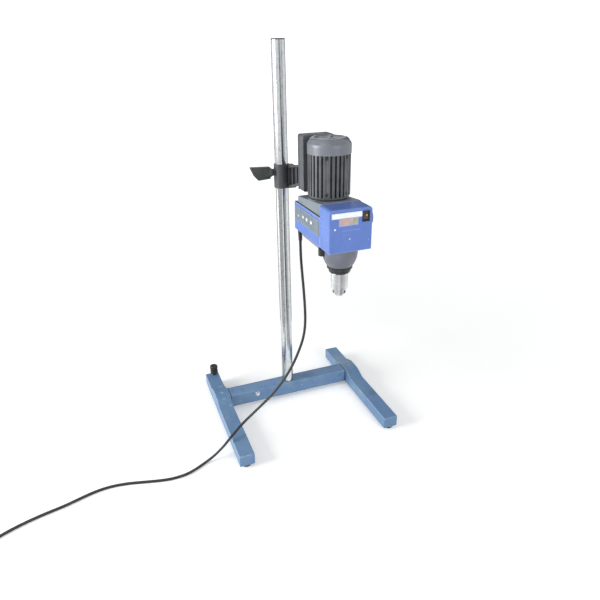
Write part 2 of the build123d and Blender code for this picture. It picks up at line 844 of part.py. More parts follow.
# Upper end shield with the upper bearing's seat
with BuildPart() as motor_end_shield:
    with BuildSketch(Plane.XY.offset(shield_base)):
        with Locations((head_x, motor_y)):
            ring_of(motor_bore_radius - seat_gap, motor_bearing_radius + seat_gap)
    extrude(amount=end_shield_height)

with BuildPart() as motor_bearings:
    for base_z in (frame_base - motor_bearing_height, shield_base):
        with BuildSketch(Plane.XY.offset(base_z)):
            with Locations((head_x, motor_y)):
                ring_of(motor_bearing_radius, motor_shaft_radius + run_gap)
        extrude(amount=motor_bearing_height)

# Stator and rotor, level with each other between the bearings
stator_z = (frame_base + shield_base - stator_height) / 2
rotor_z = (frame_base + shield_base - rotor_height) / 2
with BuildPart() as stator:
    with BuildSketch(Plane.XY.offset(stator_z)):
        with Locations((head_x, motor_y)):
            ring_of(motor_bore_radius - seat_gap, rotor_radius + air_gap)
    extrude(amount=stator_height)

fan_z = frame_top + 4.0
with BuildPart() as motor_rotor:
    with BuildSketch(Plane.XY.offset(roller_z)):
        with Locations((head_x, motor_y)):
            Circle(motor_shaft_radius)
    extrude(amount=fan_z + fan_height + 2.0 - roller_z)
    with BuildSketch(Plane.XY.offset(rotor_z)):
        with Locations((head_x, motor_y)):
            Circle(rotor_radius)
    extrude(amount=rotor_height)

# Radial fan on the motor shaft
with BuildPart() as cooling_fan:
    with BuildSketch(Plane.XY.offset(fan_z)):
        with Locations((head_x, motor_y)):
            Circle(fan_radius - 1.0)
    extrude(amount=2.0)
    with BuildSketch(Plane.XY.offset(fan_z + 2.0)):
        with Locations((head_x, motor_y)):
            Circle(fan_hub_radius)
            with PolarLocations((fan_radius + fan_hub_radius) / 2 - 1.0, fan_blades):
                Rectangle(fan_radius - fan_hub_radius + 2.0, fan_blade_thickness)
    extrude(amount=fan_height - 2.0)
    with BuildSketch(Plane.XY.offset(fan_z)):
        with Locations((head_x, motor_y)):
            Circle(motor_shaft_radius + seat_gap)
    extrude(amount=fan_height, mode=Mode.SUBTRACT)

# Domed cover over the fan, with a shallow dish in its crown
with BuildPart() as fan_cover:
    with BuildSketch(Plane.XY.offset(frame_top)):
        with Locations((head_x, motor_y)):
            Circle(fan_cover_radius)
    extrude(amount=fan_cover_height)
    fillet(fan_cover.edges().group_by(Axis.Z)[-1], fan_cover_corner)
    offset(amount=-fan_cover_wall, openings=fan_cover.faces().sort_by(Axis.Z)[0])
    with BuildSketch(Plane.XY.offset(frame_top + fan_cover_height)):
        with Locations((head_x, motor_y)):
            Circle(fan_cover_radius - fan_cover_corner - 5.0)
    extrude(amount=-fan_cover_dish, mode=Mode.SUBTRACT)

# Grey deck with a round seat for the motor
with BuildPart() as gearbox_deck:
    with BuildSketch(Plane.YZ.offset(head_x - deck_half_width)):
        with BuildLine():
            Polyline(
                (cover_rear_y, seam_z),
                (deck_rear_y, seam_z),
                (deck_rear_y, deck_rear_top),
                (cover_rear_y, deck_front_top),
                close=True,
            )
        make_face()
    extrude(amount=2 * deck_half_width)
    with BuildSketch(Plane.YZ.offset(head_x - deck_half_width + deck_wall)):
        with BuildLine():
            Polyline(
                (cover_rear_y + deck_wall, seam_z),
                (deck_rear_y - deck_wall, seam_z),
                (deck_rear_y - deck_wall, deck_rear_top - deck_roof),
                (cover_rear_y + deck_wall, deck_front_top - deck_roof),
                close=True,
            )
        make_face()
    extrude(amount=2 * (deck_half_width - deck_wall), mode=Mode.SUBTRACT)
    with BuildSketch(Plane.XY.offset(seam_z - deck_flange)):
        with Locations((head_x, (cover_rear_y + tray_rear_y) / 2)):
            Rectangle(2 * tray_half_width, tray_rear_y - cover_rear_y)
        with Locations((head_x, (cover_rear_y + deck_rear_y) / 2)):
            Rectangle(
                2 * (deck_half_width - 2 * deck_wall),
                deck_rear_y - cover_rear_y - 4 * deck_wall,
                mode=Mode.SUBTRACT,
            )
    extrude(amount=deck_flange)
    with BuildSketch(Plane.XY.offset(motor_base - deck_roof - motor_spigot_height)):
        with Locations((head_x, motor_y)):
            Circle(motor_flange_radius + seat_gap)
    extrude(amount=deck_roof + motor_spigot_height)
    with BuildSketch(Plane.XY.offset(motor_base)):
        with Locations((head_x, motor_y)):
            Circle(fin_radius + free_gap)
    extrude(amount=deck_front_rise, mode=Mode.SUBTRACT)
    with BuildSketch(Plane.XY.offset(motor_base)):
        with Locations((head_x, motor_y)):
            Circle(motor_spigot_radius + seat_gap)
    extrude(amount=-deck_roof - motor_spigot_height, mode=Mode.SUBTRACT)

# Blue casing round the housing's sides and back
with BuildPart() as rear_cover:
    with BuildSketch(Plane.XY.offset(housing_base)):
        with Locations((head_x, (cover_rear_y + housing_rear_y) / 2)):
            Rectangle(housing_width, housing_rear_y - cover_rear_y)
    extrude(amount=side_height)
    fillet(rear_cover.edges().filter_by(Axis.Z).group_by(Axis.Y)[-1], front_cover_edge)
    with BuildSketch(Plane.XY.offset(housing_base)):
        with Locations((head_x, (cover_rear_y + housing_rear_y - housing_wall) / 2)):
            Rectangle(2 * inner_half_width, housing_rear_y - housing_wall - cover_rear_y)
    extrude(amount=side_height, mode=Mode.SUBTRACT)

# Blue front cover with the openings for the controls
switch_x = head_x + switch_offset
switch_z = housing_base + switch_lift
switch_body_width = switch_width - 2 * switch_border
switch_body_height = switch_height - 2 * switch_border
title_x = head_x + title_offset
title_z = housing_base + title_lift
window_x = head_x + window_offset
window_z = title_z - (title_height + window_height) / 2
with BuildPart() as front_cover:
    with BuildSketch(Plane.XY.offset(housing_base)):
        with Locations((head_x, front_y + front_cover_depth / 2)):
            Rectangle(housing_width, front_cover_depth)
    extrude(amount=front_cover_height)
    fillet(front_cover.edges().filter_by(Axis.Y).group_by(Axis.Z)[-1], front_cover_corner)
    front_rim = front_cover.edges().group_by(Axis.Y)[0]
    fillet(front_rim.filter_by(lambda edge: edge.center().Z > housing_base), front_cover_edge)
    with BuildSketch(Plane.XZ.offset(-cover_rear_y)):
        with Locations((head_x, housing_base + (front_cover_height - housing_wall) / 2)):
            RectangleRounded(
                2 * inner_half_width,
                front_cover_height - housing_wall,
                front_cover_corner - housing_wall,
            )
        with Locations((head_x, housing_base + front_cover_corner)):
            Rectangle(2 * inner_half_width, 2 * front_cover_corner)
    extrude(amount=front_cover_depth - housing_wall, mode=Mode.SUBTRACT)
    with BuildSketch(Plane.YZ.offset(head_x + inner_half_width)):
        with Locations((speed_y, speed_z)):
            Circle(speed_shaft_radius + run_gap)
    extrude(amount=housing_wall, mode=Mode.SUBTRACT)
    with BuildSketch(Plane.XZ.offset(-front_y - housing_wall)):
        with Locations((switch_x, switch_z)):
            Rectangle(switch_body_width + 2 * seat_gap, switch_body_height + 2 * seat_gap)
    extrude(amount=housing_wall, mode=Mode.SUBTRACT)
    with BuildSketch(Plane.XZ.offset(-front_y - panel_sink)):
        with Locations((title_x, title_z)):
            Rectangle(title_width, title_height)
        with Locations((window_x, window_z)):
            Rectangle(window_width, window_height)
    extrude(amount=panel_sink, mode=Mode.SUBTRACT)

# Title strip and smoked display window, let into the front cover
with BuildPart() as title_strip:
    with BuildSketch(Plane.XZ.offset(-front_y - panel_sink)):
        with Locations((title_x, title_z)):
            Rectangle(title_width - 2 * seat_gap, title_height - 2 * seat_gap)
    extrude(amount=panel_thickness)

with BuildPart() as display_window:
    with BuildSketch(Plane.XZ.offset(-front_y - panel_sink)):
        with Locations((window_x, window_z)):
            Rectangle(window_width - 2 * seat_gap, window_height - 2 * seat_gap)
    extrude(amount=panel_thickness)

# Grey plate on the housing's left side
with BuildPart() as side_plate:
    plate_y = cover_rear_y + side_plate_margin + side_plate_length / 2
    with BuildSketch(Plane.YZ.offset(head_x - half_width)):
        with Locations((plate_y, housing_base + side_plate_lift)):
            Rectangle(side_plate_length, side_plate_height)
    extrude(amount=-panel_thickness)

# Switch frame: a flange on the front and a moulded cup behind it
cup_width = switch_body_width - 2 * switch_wall
cup_height = switch_body_height - 2 * switch_wall
with BuildPart() as switch_frame:
    with BuildSketch(Plane.XZ.offset(-front_y)):
        with Locations((switch_x, switch_z)):
            Rectangle(switch_width, switch_height)
    extrude(amount=switch_proud)
    with BuildSketch(Plane.XZ.offset(-front_y)):
        with Locations((switch_x, switch_z)):
            Rectangle(switch_body_width, switch_body_height)
    extrude(amount=-switch_depth)
    with BuildSketch(Plane.XZ.offset(-front_y + switch_proud)):
        with Locations((switch_x, switch_z)):
            Rectangle(cup_width, cup_height)
    extrude(amount=-switch_proud - switch_depth + 2 * switch_wall, mode=Mode.SUBTRACT)

# Rocker, tipped about a pivot behind the front
pivot_y = front_y + rocker_pivot_depth
rocker_half_width = cup_width / 2 - rocker_gap
rocker_rise = cup_height / 2 - rocker_gap - rocker_face * sin(radians(rocker_tilt))
with BuildPart() as power_rocker:
    rocker_plane = Plane(
        origin=(switch_x - rocker_half_width, pivot_y, switch_z),
        x_dir=(0, cos(radians(rocker_tilt)), -sin(radians(rocker_tilt))),
        z_dir=(1, 0, 0),
    )
    with BuildSketch(rocker_plane):
        with BuildLine():
            Polyline(
                (4.0, -3.0),
                (-rocker_face, -rocker_rise),
                (rocker_dip - rocker_face, 0),
                (-rocker_face, rocker_rise),
                (4.0, 3.0),
                close=True,
            )
        make_face()
    extrude(amount=2 * rocker_half_width)


def toothed_disc(teeth, module, tooth_angle):
    """Draws a spur gear in the open sketch, with one tooth along the given angle."""
    pitch = pi * module
    pitch_radius = teeth * module / 2
    root_radius = pitch_radius - 1.2 * module
    flank = tan(radians(20))
    root_width = tooth_thickness * pitch + 2 * 1.3 * module * flank
    Circle(root_radius)
    with PolarLocations(root_radius - 0.1 * module, teeth, start_angle=tooth_angle):
        Trapezoid(
            root_width,
            2.2 * module,
            70,
            rotation=-90,
            align=(Align.CENTER, Align.MIN),
        )


# Speed knob: a thin disc on the right side
knob_x = head_x + half_width + speed_knob_gap
with BuildPart() as speed_knob:
    with BuildSketch(Plane.YZ.offset(knob_x)):
        with Locations((speed_y, speed_z)):
            Circle(speed_knob_radius)
    extrude(amount=speed_knob_thickness)
    fillet(speed_knob.edges().group_by(Axis.X)[-1], 3.0)
    fillet(speed_knob.edges().group_by(Axis.X)[0], 1.0)

# Its shaft, with the pinion that moves the rack
with BuildPart() as speed_shaft:
    with BuildSketch(Plane.YZ.offset(rack_x - rack_width / 2)):
        with Locations((speed_y, speed_z)):
            toothed_disc(speed_pinion_teeth, rack_module, -90)
    extrude(amount=rack_width)
    with BuildSketch(Plane.YZ.offset(rack_x + rack_width / 2)):
        with Locations((speed_y, speed_z)):
            Circle(speed_shaft_radius)
    extrude(amount=knob_x - rack_x - rack_width / 2)

# Rack under the pinion, sliding on the bridge over the gears
rack_pitch = pi * rack_module
rack_base = bridge_top + free_gap
rack_pitch_z = speed_z - speed_pinion_teeth * rack_module / 2 - rack_backlash
rack_root = rack_pitch_z - 1.2 * rack_module
rack_teeth = int(rack_length / rack_pitch)
rack_tooth_width = tooth_thickness * rack_pitch + 2 * 1.2 * rack_module * tan(radians(20))
rack_places = [
    (speed_y + (index + 0.5 - rack_teeth // 2) * rack_pitch, rack_root)
    for index in range(2 * (rack_teeth // 2))
]
with BuildPart() as speed_rack:
    with BuildSketch(Plane.YZ.offset(rack_x - rack_width / 2)):
        with Locations((speed_y, (rack_base + rack_root) / 2)):
            Rectangle(rack_length, rack_root - rack_base)
        with Locations(*rack_places):
            Trapezoid(rack_tooth_width, 2.0 * rack_module, 70, align=(Align.CENTER, Align.MIN))
    extrude(amount=rack_width)

# Structural base plate, with the pan under it and the posts of the bridge
post_places = [
    (head_x - 38.0, spindle_y - 29.0),
    (head_x + 38.0, spindle_y - 29.0),
    (head_x + 30.0, motor_y + 3.0),
    (head_x - 30.0, motor_y - 12.0),
]
tray_front_y = front_y + housing_wall + seat_gap
pan_front_y = column_y - pan_front_reach
pan_rear_y = column_y - pan_rear_reach
with BuildPart() as base_tray:
    with BuildSketch(Plane.XY.offset(housing_base)):
        with Locations((head_x, (tray_front_y + tray_rear_y) / 2)):
            Rectangle(2 * tray_half_width, tray_rear_y - tray_front_y)
        with Locations((head_x, spindle_y)):
            Circle(spindle_neck_radius + spindle_clearance, mode=Mode.SUBTRACT)
        with Locations((selector_x, selector_y)):
            Circle(selector_shaft_radius + run_gap, mode=Mode.SUBTRACT)
        with Locations((gland_x, gland_y)):
            Circle(gland_neck_radius + seat_gap, mode=Mode.SUBTRACT)
    extrude(amount=base_plate_thickness)
    with BuildSketch(Plane.XY.offset(housing_base)):
        with Locations((head_x, (pan_front_y + pan_rear_y) / 2)):
            Rectangle(2 * (half_width - pan_inset), pan_rear_y - pan_front_y)
        with Locations((head_x, spindle_y)):
            Circle(neck_radius + spindle_clearance, mode=Mode.SUBTRACT)
        with Locations((selector_x, selector_y)):
            Circle(selector_shaft_radius + run_gap, mode=Mode.SUBTRACT)
    extrude(amount=-pan_drop)
    with BuildSketch(Plane.XY.offset(base_plate_top)):
        with Locations(*post_places):
            Circle(post_radius)
    extrude(amount=bridge_z - base_plate_top)
    with BuildSketch(Plane.XY.offset(base_plate_top)):
        with Locations((layshaft_x, layshaft_y)):
            Circle(layshaft_radius + run_gap)
    extrude(amount=-layshaft_socket, mode=Mode.SUBTRACT)

# Bridge over the gears, with the upper bearing seats
bridge_front_y = spindle_y - bridge_front_margin
bridge_rear_y = motor_y + bridge_rear_margin
with BuildPart() as bearing_bridge:
    with BuildSketch(Plane.XY.offset(bridge_z)):
        with Locations((head_x, (bridge_front_y + bridge_rear_y) / 2)):
            Rectangle(bridge_width, bridge_rear_y - bridge_front_y)
        with Locations((head_x, motor_y)):
            Circle(roller_radius + bridge_roller_gap, mode=Mode.SUBTRACT)
        with Locations((head_x, spindle_y)):
            Circle(bridge_bearing_radius + seat_gap, mode=Mode.SUBTRACT)
        with Locations((layshaft_x, layshaft_y)):
            Circle(layshaft_radius + run_gap, mode=Mode.SUBTRACT)
    extrude(amount=bridge_thickness)

# Gears: two pinions on the layshaft, in mesh with two wheels on the spindle
mesh_angle = degrees(atan2(layshaft_y - spindle_y, layshaft_offset))
with BuildPart() as low_gear:
    with BuildSketch(Plane.XY.offset(low_gear_z)):
        with Locations((head_x, spindle_y)):
            toothed_disc(low_gear_teeth, gear_module, mesh_angle)
            Circle(spindle_radius + seat_gap, mode=Mode.SUBTRACT)
    extrude(amount=gear_width)

with BuildPart() as high_gear:
    with BuildSketch(Plane.XY.offset(high_gear_z)):
        with Locations((head_x, spindle_y)):
            toothed_disc(high_gear_teeth, gear_module, mesh_angle)
            Circle(spindle_radius + run_gap, mode=Mode.SUBTRACT)
    extrude(amount=range_gear_width)

layshaft_base = base_plate_top - layshaft_socket + free_gap
with BuildPart() as layshaft:
    with BuildSketch(Plane.XY.offset(layshaft_base)):
        with Locations((layshaft_x, layshaft_y)):
            Circle(layshaft_radius)
    extrude(amount=bridge_top - layshaft_base)
    with BuildSketch(Plane.XY.offset(low_gear_z)):
        with Locations((layshaft_x, layshaft_y)):
            toothed_disc(low_pinion_teeth, gear_module, mesh_angle + 180 + 180 / low_pinion_teeth)
    extrude(amount=gear_width)
    with BuildSketch(Plane.XY.offset(high_gear_z)):
        with Locations((layshaft_x, layshaft_y)):
            toothed_disc(high_pinion_teeth, gear_module, mesh_angle + 180 + 180 / high_pinion_teeth)
    extrude(amount=range_gear_width)

# Friction wheel on the layshaft, driven by the roller on the motor shaft
with BuildPart() as friction_wheel:
    with BuildSketch(Plane.XY.offset(friction_wheel_z)):
        with Locations((layshaft_x, layshaft_y)):
            ring_of(friction_wheel_radius, layshaft_radius + seat_gap)
    extrude(amount=friction_wheel_width)

with BuildPart() as drive_roller:
    with BuildSketch(Plane.XY.offset(roller_z)):
        with Locations((head_x, motor_y)):
            ring_of(roller_radius, motor_shaft_radius + seat_gap)
    extrude(amount=roller_height)

# Clutch ring between the two wheels, grooved for the fork
groove_z = clutch_z + (clutch_height - fork_thickness) / 2
with BuildPart() as range_clutch:
    with BuildSketch(Plane.XY.offset(clutch_z)):
        with Locations((head_x, spindle_y)):
            ring_of(clutch_radius, spindle_radius + run_gap)
    extrude(amount=clutch_height)
    with BuildSketch(Plane.XY.offset(groove_z - free_gap)):
        with Locations((head_x, spindle_y)):
            ring_of(clutch_radius + 1.0, clutch_radius - clutch_groove)
    extrude(amount=fork_thickness + 2 * free_gap, mode=Mode.SUBTRACT)

# Fork that lifts the clutch: a hub on the selector's shaft and an arm to a half ring
fork_reach = hypot(selector_x - head_x, selector_y - spindle_y)
fork_angle = degrees(atan2(selector_y - spindle_y, selector_x - head_x))
fork_inner = clutch_radius - clutch_groove + free_gap
fork_centre = Location((head_x, spindle_y, 0), (0, 0, fork_angle))
with BuildPart() as shift_fork:
    with BuildSketch(Plane.XY.offset(groove_z)):
        with Locations(fork_centre):
            Circle(clutch_radius + fork_rim)
            with Locations((fork_reach / 2, 0)):
                Rectangle(fork_reach, fork_arm_width)
            with Locations((fork_reach, 0)):
                Circle(selector_shaft_radius + fork_hub_wall)
            Circle(fork_inner, mode=Mode.SUBTRACT)
            with Locations((-clutch_radius, 0)):
                Rectangle(2 * clutch_radius, 2 * fork_inner, mode=Mode.SUBTRACT)
            with Locations((fork_reach, 0)):
                Circle(selector_shaft_radius + run_gap, mode=Mode.SUBTRACT)
    extrude(amount=fork_thickness)

# Range selector: a small knob under the housing on the shaft that carries the fork
with BuildPart() as range_selector:
    with BuildSketch(Plane.XY.offset(selector_base)):
        with Locations((selector_x, selector_y)):
            Circle(selector_radius)
            with PolarLocations(selector_radius + selector_grip_radius / 2, selector_grips):
                Circle(selector_grip_radius, mode=Mode.SUBTRACT)
    extrude(amount=selector_height)
    with BuildSketch(Plane.XY.offset(selector_top)):
        with Locations((selector_x, selector_y)):
            Circle(selector_shaft_radius)
    extrude(amount=housing_base + selector_shaft_rise - selector_top)

# Output spindle, stepped for its bearings
spindle_step_z = neck_base + spindle_step_rise
spindle_stations = [
    (spindle_base, chuck_top, spindle_tail_radius),
    (chuck_top, spindle_step_z, spindle_neck_radius),
    (spindle_step_z, bridge_top, spindle_radius),
]
with BuildPart() as output_spindle:
    for low_z, high_z, radius in spindle_stations:
        with BuildSketch(Plane.XY.offset(low_z)):
            with Locations((head_x, spindle_y)):
                Circle(radius)
        extrude(amount=high_z - low_z)

with BuildPart() as spindle_bearings:
    with BuildSketch(Plane.XY.offset(bridge_z)):
        with Locations((head_x, spindle_y)):
            ring_of(bridge_bearing_radius, spindle_radius + run_gap)
    extrude(amount=bridge_thickness)
    with BuildSketch(Plane.XY.offset(neck_base + neck_floor)):
        with Locations((head_x, spindle_y)):
            ring_of(neck_bearing_radius, spindle_neck_radius + run_gap)
    extrude(amount=neck_bearing_height)

# Bell-shaped neck under the housing, relieved beside the range selector
with BuildPart() as neck_bell:
    with BuildSketch(Plane.XZ.offset(-spindle_y)):
        with BuildLine():
            shoulder = (head_x + neck_radius, housing_base - neck_straight)
            bell_side = Line((head_x + neck_radius, housing_base), shoulder)
            bell_curve = TangentArc(shoulder, (head_x + collar_radius, neck_base), tangent=bell_side % 1)
            Polyline(bell_curve @ 1, (head_x, neck_base), (head_x, housing_base), bell_side @ 0)
        make_face()
    revolve(axis=Axis((head_x, spindle_y, 0), (0, 0, 1)))
    with BuildSketch(Plane.XY.offset(housing_base)):
        with Locations((head_x, spindle_y)):
            Circle(neck_cavity_radius)
    extrude(amount=-neck_cavity_depth, mode=Mode.SUBTRACT)
    with BuildSketch(Plane.XY.offset(neck_base + neck_floor)):
        with Locations((head_x, spindle_y)):
            Circle(neck_bearing_radius + seat_gap)
    extrude(amount=neck_height - neck_floor, mode=Mode.SUBTRACT)
    with BuildSketch(Plane.XY.offset(neck_base)):
        with Locations((head_x, spindle_y)):
            Circle(spindle_neck_radius + spindle_clearance)
    extrude(amount=neck_floor, mode=Mode.SUBTRACT)
    with BuildSketch(Plane.XY.offset(housing_base)):
        with Locations((selector_x, selector_y)):
            Circle(selector_radius + free_gap)
    extrude(amount=selector_base - free_gap - housing_base, mode=Mode.SUBTRACT)

# Collar below the bell
with BuildPart() as neck_collar:
    with BuildSketch(Plane.XZ.offset(-spindle_y)):
        with BuildLine():
            Polyline(
                (head_x + spindle_neck_radius + spindle_clearance, neck_base),
                (head_x + collar_radius, neck_base),
                (head_x + collar_radius, neck_base - collar_land),
                (head_x + collar_low_radius, collar_base),
                (head_x + spindle_neck_radius + spindle_clearance, collar_base),
                close=True,
            )
        make_face()
    revolve(axis=Axis((head_x, spindle_y, 0), (0, 0, 1)))


def jaw_plane(index):
    """Plane across one jaw's tip, its normal along the jaw, up and outwards."""
    angle = radians(120 * index + chuck_angle)
    tilt = radians(jaw_tilt)
    return Plane(
        origin=(
            head_x + jaw_standoff * cos(angle),
            spindle_y + jaw_standoff * sin(angle),
            chuck_base + jaw_tip_rise,
        ),
        x_dir=(-sin(angle), cos(angle), 0),
        z_dir=(sin(tilt) * cos(angle), sin(tilt) * sin(angle), cos(tilt)),
    )


# Chuck body, with slanted bores for the jaws and holes for the key
key_hole_z = chuck_sleeve_base - key_hole_drop
with BuildPart() as chuck_body:
    with BuildSketch(Plane.XZ.offset(-spindle_y)):
        with BuildLine():
            Polyline(
                (head_x, chuck_base),
                (head_x + chuck_nose_radius, chuck_base),
                (head_x + chuck_body_radius, chuck_base + chuck_nose_taper),
                (head_x + chuck_body_radius, chuck_top),
                (head_x, chuck_top),
                close=True,
            )
        make_face()
    revolve(axis=Axis((head_x, spindle_y, 0), (0, 0, 1)))
    with BuildSketch(Plane.XY.offset(chuck_base)):
        with Locations((head_x, spindle_y)):
            Circle(chuck_bore_radius)
    extrude(amount=chuck_bore_depth, mode=Mode.SUBTRACT)
    with BuildSketch(Plane.XY.offset(spindle_base)):
        with Locations((head_x, spindle_y)):
            Circle(spindle_tail_radius + seat_gap)
    extrude(amount=chuck_top - spindle_base, mode=Mode.SUBTRACT)
    for index in range(3):
        with BuildSketch(jaw_plane(index).offset(-jaw_length)):
            Circle(jaw_radius + run_gap)
        extrude(amount=2 * jaw_length + seat_gap, mode=Mode.SUBTRACT)
    for index in range(3):
        key_angle = radians(120 * index + 60 + chuck_angle)
        key_plane = Plane(
            origin=(head_x, spindle_y, key_hole_z),
            x_dir=(0, 0, 1),
            z_dir=(cos(key_angle), sin(key_angle), 0),
        )
        with BuildSketch(key_plane.offset(chuck_body_radius - key_hole_depth)):
            Circle(key_hole_radius)
        extrude(amount=2 * key_hole_depth, mode=Mode.SUBTRACT)

with BuildPart() as chuck_sleeve:
    with BuildSketch(Plane.XZ.offset(-spindle_y)):
        with BuildLine():
            Polyline(
                (head_x + chuck_body_radius + run_gap, chuck_sleeve_base),
                (head_x + chuck_low_radius, chuck_sleeve_base),
                (head_x + chuck_top_radius, chuck_top),
                (head_x + chuck_body_radius + run_gap, chuck_top),
                close=True,
            )
        make_face()
    revolve(axis=Axis((head_x, spindle_y, 0), (0, 0, 1)))
    low_rim = chuck_sleeve.edges().group_by(Axis.Z)[0].sort_by(SortBy.RADIUS)[-1]
    fillet(low_rim, chuck_sleeve_round)


def make_jaw(index):
    """One jaw, a rod in its slanted bore."""
    with BuildPart() as jaw:
        with BuildSketch(jaw_plane(index)):
            Circle(jaw_radius)
        extrude(amount=jaw_length)
    return jaw


chuck_jaw_1 = make_jaw(0)
chuck_jaw_2 = make_jaw(1)
chuck_jaw_3 = make_jaw(2)

# Cord gland with its tapered strain relief
with BuildPart() as cord_gland:
    with BuildSketch(Plane.XZ.offset(-gland_y)):
        with BuildLine():
            Polyline(
                (gland_x, base_plate_top),
                (gland_x + gland_neck_radius, base_plate_top),
                (gland_x + gland_neck_radius, housing_base),
                (gland_x + gland_radius, housing_base),
                (gland_x + gland_radius, housing_base - gland_collar),
                (gland_x + gland_tip_radius, cord_exit_z),
                (gland_x, cord_exit_z),
                close=True,
            )
        make_face()
    revolve(axis=Axis((gland_x, gland_y, 0), (0, 0, 1)))

# Mains lead: down from the gland, over the left leg and away across the floor.
# Each point is measured from the column's axis.
lying_z = cord_radius + 0.1
coil_turn_radius = coil_outer_radius - cord_radius
cord_route = [
    (-19.6, -189.5, 500.0),
    (-17.9, -196.0, 450.0),
    (-15.8, -200.5, 390.0),
    (-16.8, -203.0, 343.0),
    (-23.4, -203.4, 305.0),
    (-37.0, -200.8, 265.0),
    (-55.0, -197.0, 222.0),
    (-80.0, -191.0, 179.0),
    (-108.0, -184.5, 141.0),
    (-140.0, -175.5, 106.0),
    (-171.0, -170.5, 74.5),
    (-196.5, -175.5, 57.5),
    (-218.0, -194.0, 53.5),
    (-237.5, -207.5, 48.2),
    (-256.0, -214.0, 36.0),
    (-271.5, -213.0, 21.5),
    (-287.5, -214.0, 9.5),
    (-307.0, -219.5, lying_z),
    (-334.5, -235.0, lying_z),
    (-361.8, -246.0, lying_z),
    (-394.5, -249.0, lying_z),
    (-428.0, -244.5, lying_z),
    (-471.0, -233.0, lying_z),
    (-511.0, -222.5, lying_z),
    (-548.0, -218.5, lying_z),
    (-580.0, -221.0, lying_z),
    (-612.0, -229.5, lying_z),
    (-655.0, -243.5, lying_z),
    (-712.0, -255.0, lying_z),
    (-768.0, -273.0, lying_z),
    (-814.0, -296.0, lying_z),
]
cord_points = [Vector(gland_x, gland_y, cord_exit_z), Vector(gland_x, gland_y, cord_exit_z - 32.0)]
cord_points += [Vector(x, column_y + y, z) for x, y, z in cord_route]
cord_points += [Vector(coil_x, coil_y + coil_turn_radius, lying_z)]
cord_runs = [end - start for start, end in zip(cord_points, cord_points[1:])]
cord_radii = []
for run, next_run in zip(cord_runs, cord_runs[1:]):
    half_turn = radians(run.get_angle(next_run)) / 2
    cord_radii.append(0.45 * min(run.length, next_run.length) / tan(half_turn))
print("cord radii", [round(radius, 1) for radius in cord_radii])
with BuildPart() as cord_run:
    with BuildLine() as cord_path:
        FilletPolyline(*cord_points, radius=cord_radii)
    with BuildSketch(Plane(origin=cord_path.line @ 0, z_dir=cord_path.line % 0)):
        Circle(cord_radius)
    sweep()
cord_run_length = sum(edge.length for edge in cord_path.edges())
print("cord run length", round(cord_run_length, 1))

# Coil of the lead's last stretch, lying on the floor
with BuildPart() as cord_coil:
    with BuildSketch(Plane.XY):
        with Locations((coil_x, coil_y)):
            ring_of(coil_outer_radius, coil_inner_radius)
    extrude(amount=coil_height)

# Round mains plug, lying beside the coil
plug_x = coil_x - coil_outer_radius
plug_neck_y = coil_y - 12.0
with BuildPart() as mains_plug:
    with BuildSketch(Plane.XZ.offset(-plug_neck_y)):
        with Locations((plug_x, plug_radius)):
            Circle(plug_neck_radius * 0.7)
    with BuildSketch(Plane.XZ.offset(plug_neck_length - plug_neck_y)):
        with Locations((plug_x, plug_radius)):
            Circle(plug_neck_radius)
    loft()
    with BuildSketch(Plane.XZ.offset(plug_neck_length - plug_neck_y)):
        with Locations((plug_x, plug_radius)):
            Circle(plug_radius)
    extrude(amount=plug_length)
    with BuildSketch(Plane.XZ.offset(plug_neck_length + plug_length - plug_neck_y)):
        with Locations((plug_x - pin_spacing / 2, plug_radius), (plug_x + pin_spacing / 2, plug_radius)):
            Circle(pin_radius)
    extrude(amount=pin_length)

pieces = {
    "left_leg": left_leg,
    "right_leg": right_leg,
    "crossbar": crossbar,
    "crossbar_end_blocks": crossbar_end_blocks,
    "leg_screws": leg_screws,
    "rubber_feet": rubber_feet,
    "earth_bolt": earth_bolt,
    "column_tube": column_tube,
    "column_cap": column_cap,
    "levelling_screw": levelling_screw,
    "levelling_pad": levelling_pad,
    "clamp_liner": clamp_liner,
    "clamp_arm": clamp_arm,
    "clamp_pad": clamp_pad,
    "clamp_screw": clamp_screw,
    "motor_box": motor_box,
    "run_capacitor": run_capacitor,
    "arm_bolts": arm_bolts,
    "motor_frame": motor_frame,
    "tie_bolts": tie_bolts,
    "motor_end_shield": motor_end_shield,
    "motor_bearings": motor_bearings,
    "stator": stator,
    "motor_rotor": motor_rotor,
    "cooling_fan": cooling_fan,
    "fan_cover": fan_cover,
    "gearbox_deck": gearbox_deck,
    "rear_cover": rear_cover,
    "front_cover": front_cover,
    "title_strip": title_strip,
    "display_window": display_window,
    "side_plate": side_plate,
    "switch_frame": switch_frame,
    "power_rocker": power_rocker,
    "speed_knob": speed_knob,
    "speed_shaft": speed_shaft,
    "speed_rack": speed_rack,
    "base_tray": base_tray,
    "bearing_bridge": bearing_bridge,
    "low_gear": low_gear,
    "high_gear": high_gear,
    "layshaft": layshaft,
    "friction_wheel": friction_wheel,
    "drive_roller": drive_roller,
    "range_clutch": range_clutch,
    "shift_fork": shift_fork,
    "range_selector": range_selector,
    "output_spindle": output_spindle,
    "spindle_bearings": spindle_bearings,
    "neck_bell": neck_bell,
    "neck_collar": neck_collar,
    "chuck_body": chuck_body,
    "chuck_sleeve": chuck_sleeve,
    "chuck_jaw_1": chuck_jaw_1,
    "chuck_jaw_2": chuck_jaw_2,
    "chuck_jaw_3": chuck_jaw_3,
    "cord_gland": cord_gland,
    "cord_run": cord_run,
    "cord_coil": cord_coil,
    "mains_plug": mains_plug,
}
for name, piece in pieces.items():
    piece.part.label = name
    export_step(piece.part, f"parts/{name}.step")
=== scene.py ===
"""Overhead stirrer on an H-stand: its finishes, its finer pieces, the light and the camera.

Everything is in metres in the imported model's frame: Z is up, X runs along the crossbar and the
controls face -Y. Sizes are written in millimetres and multiplied by mm.
"""
import json
import math

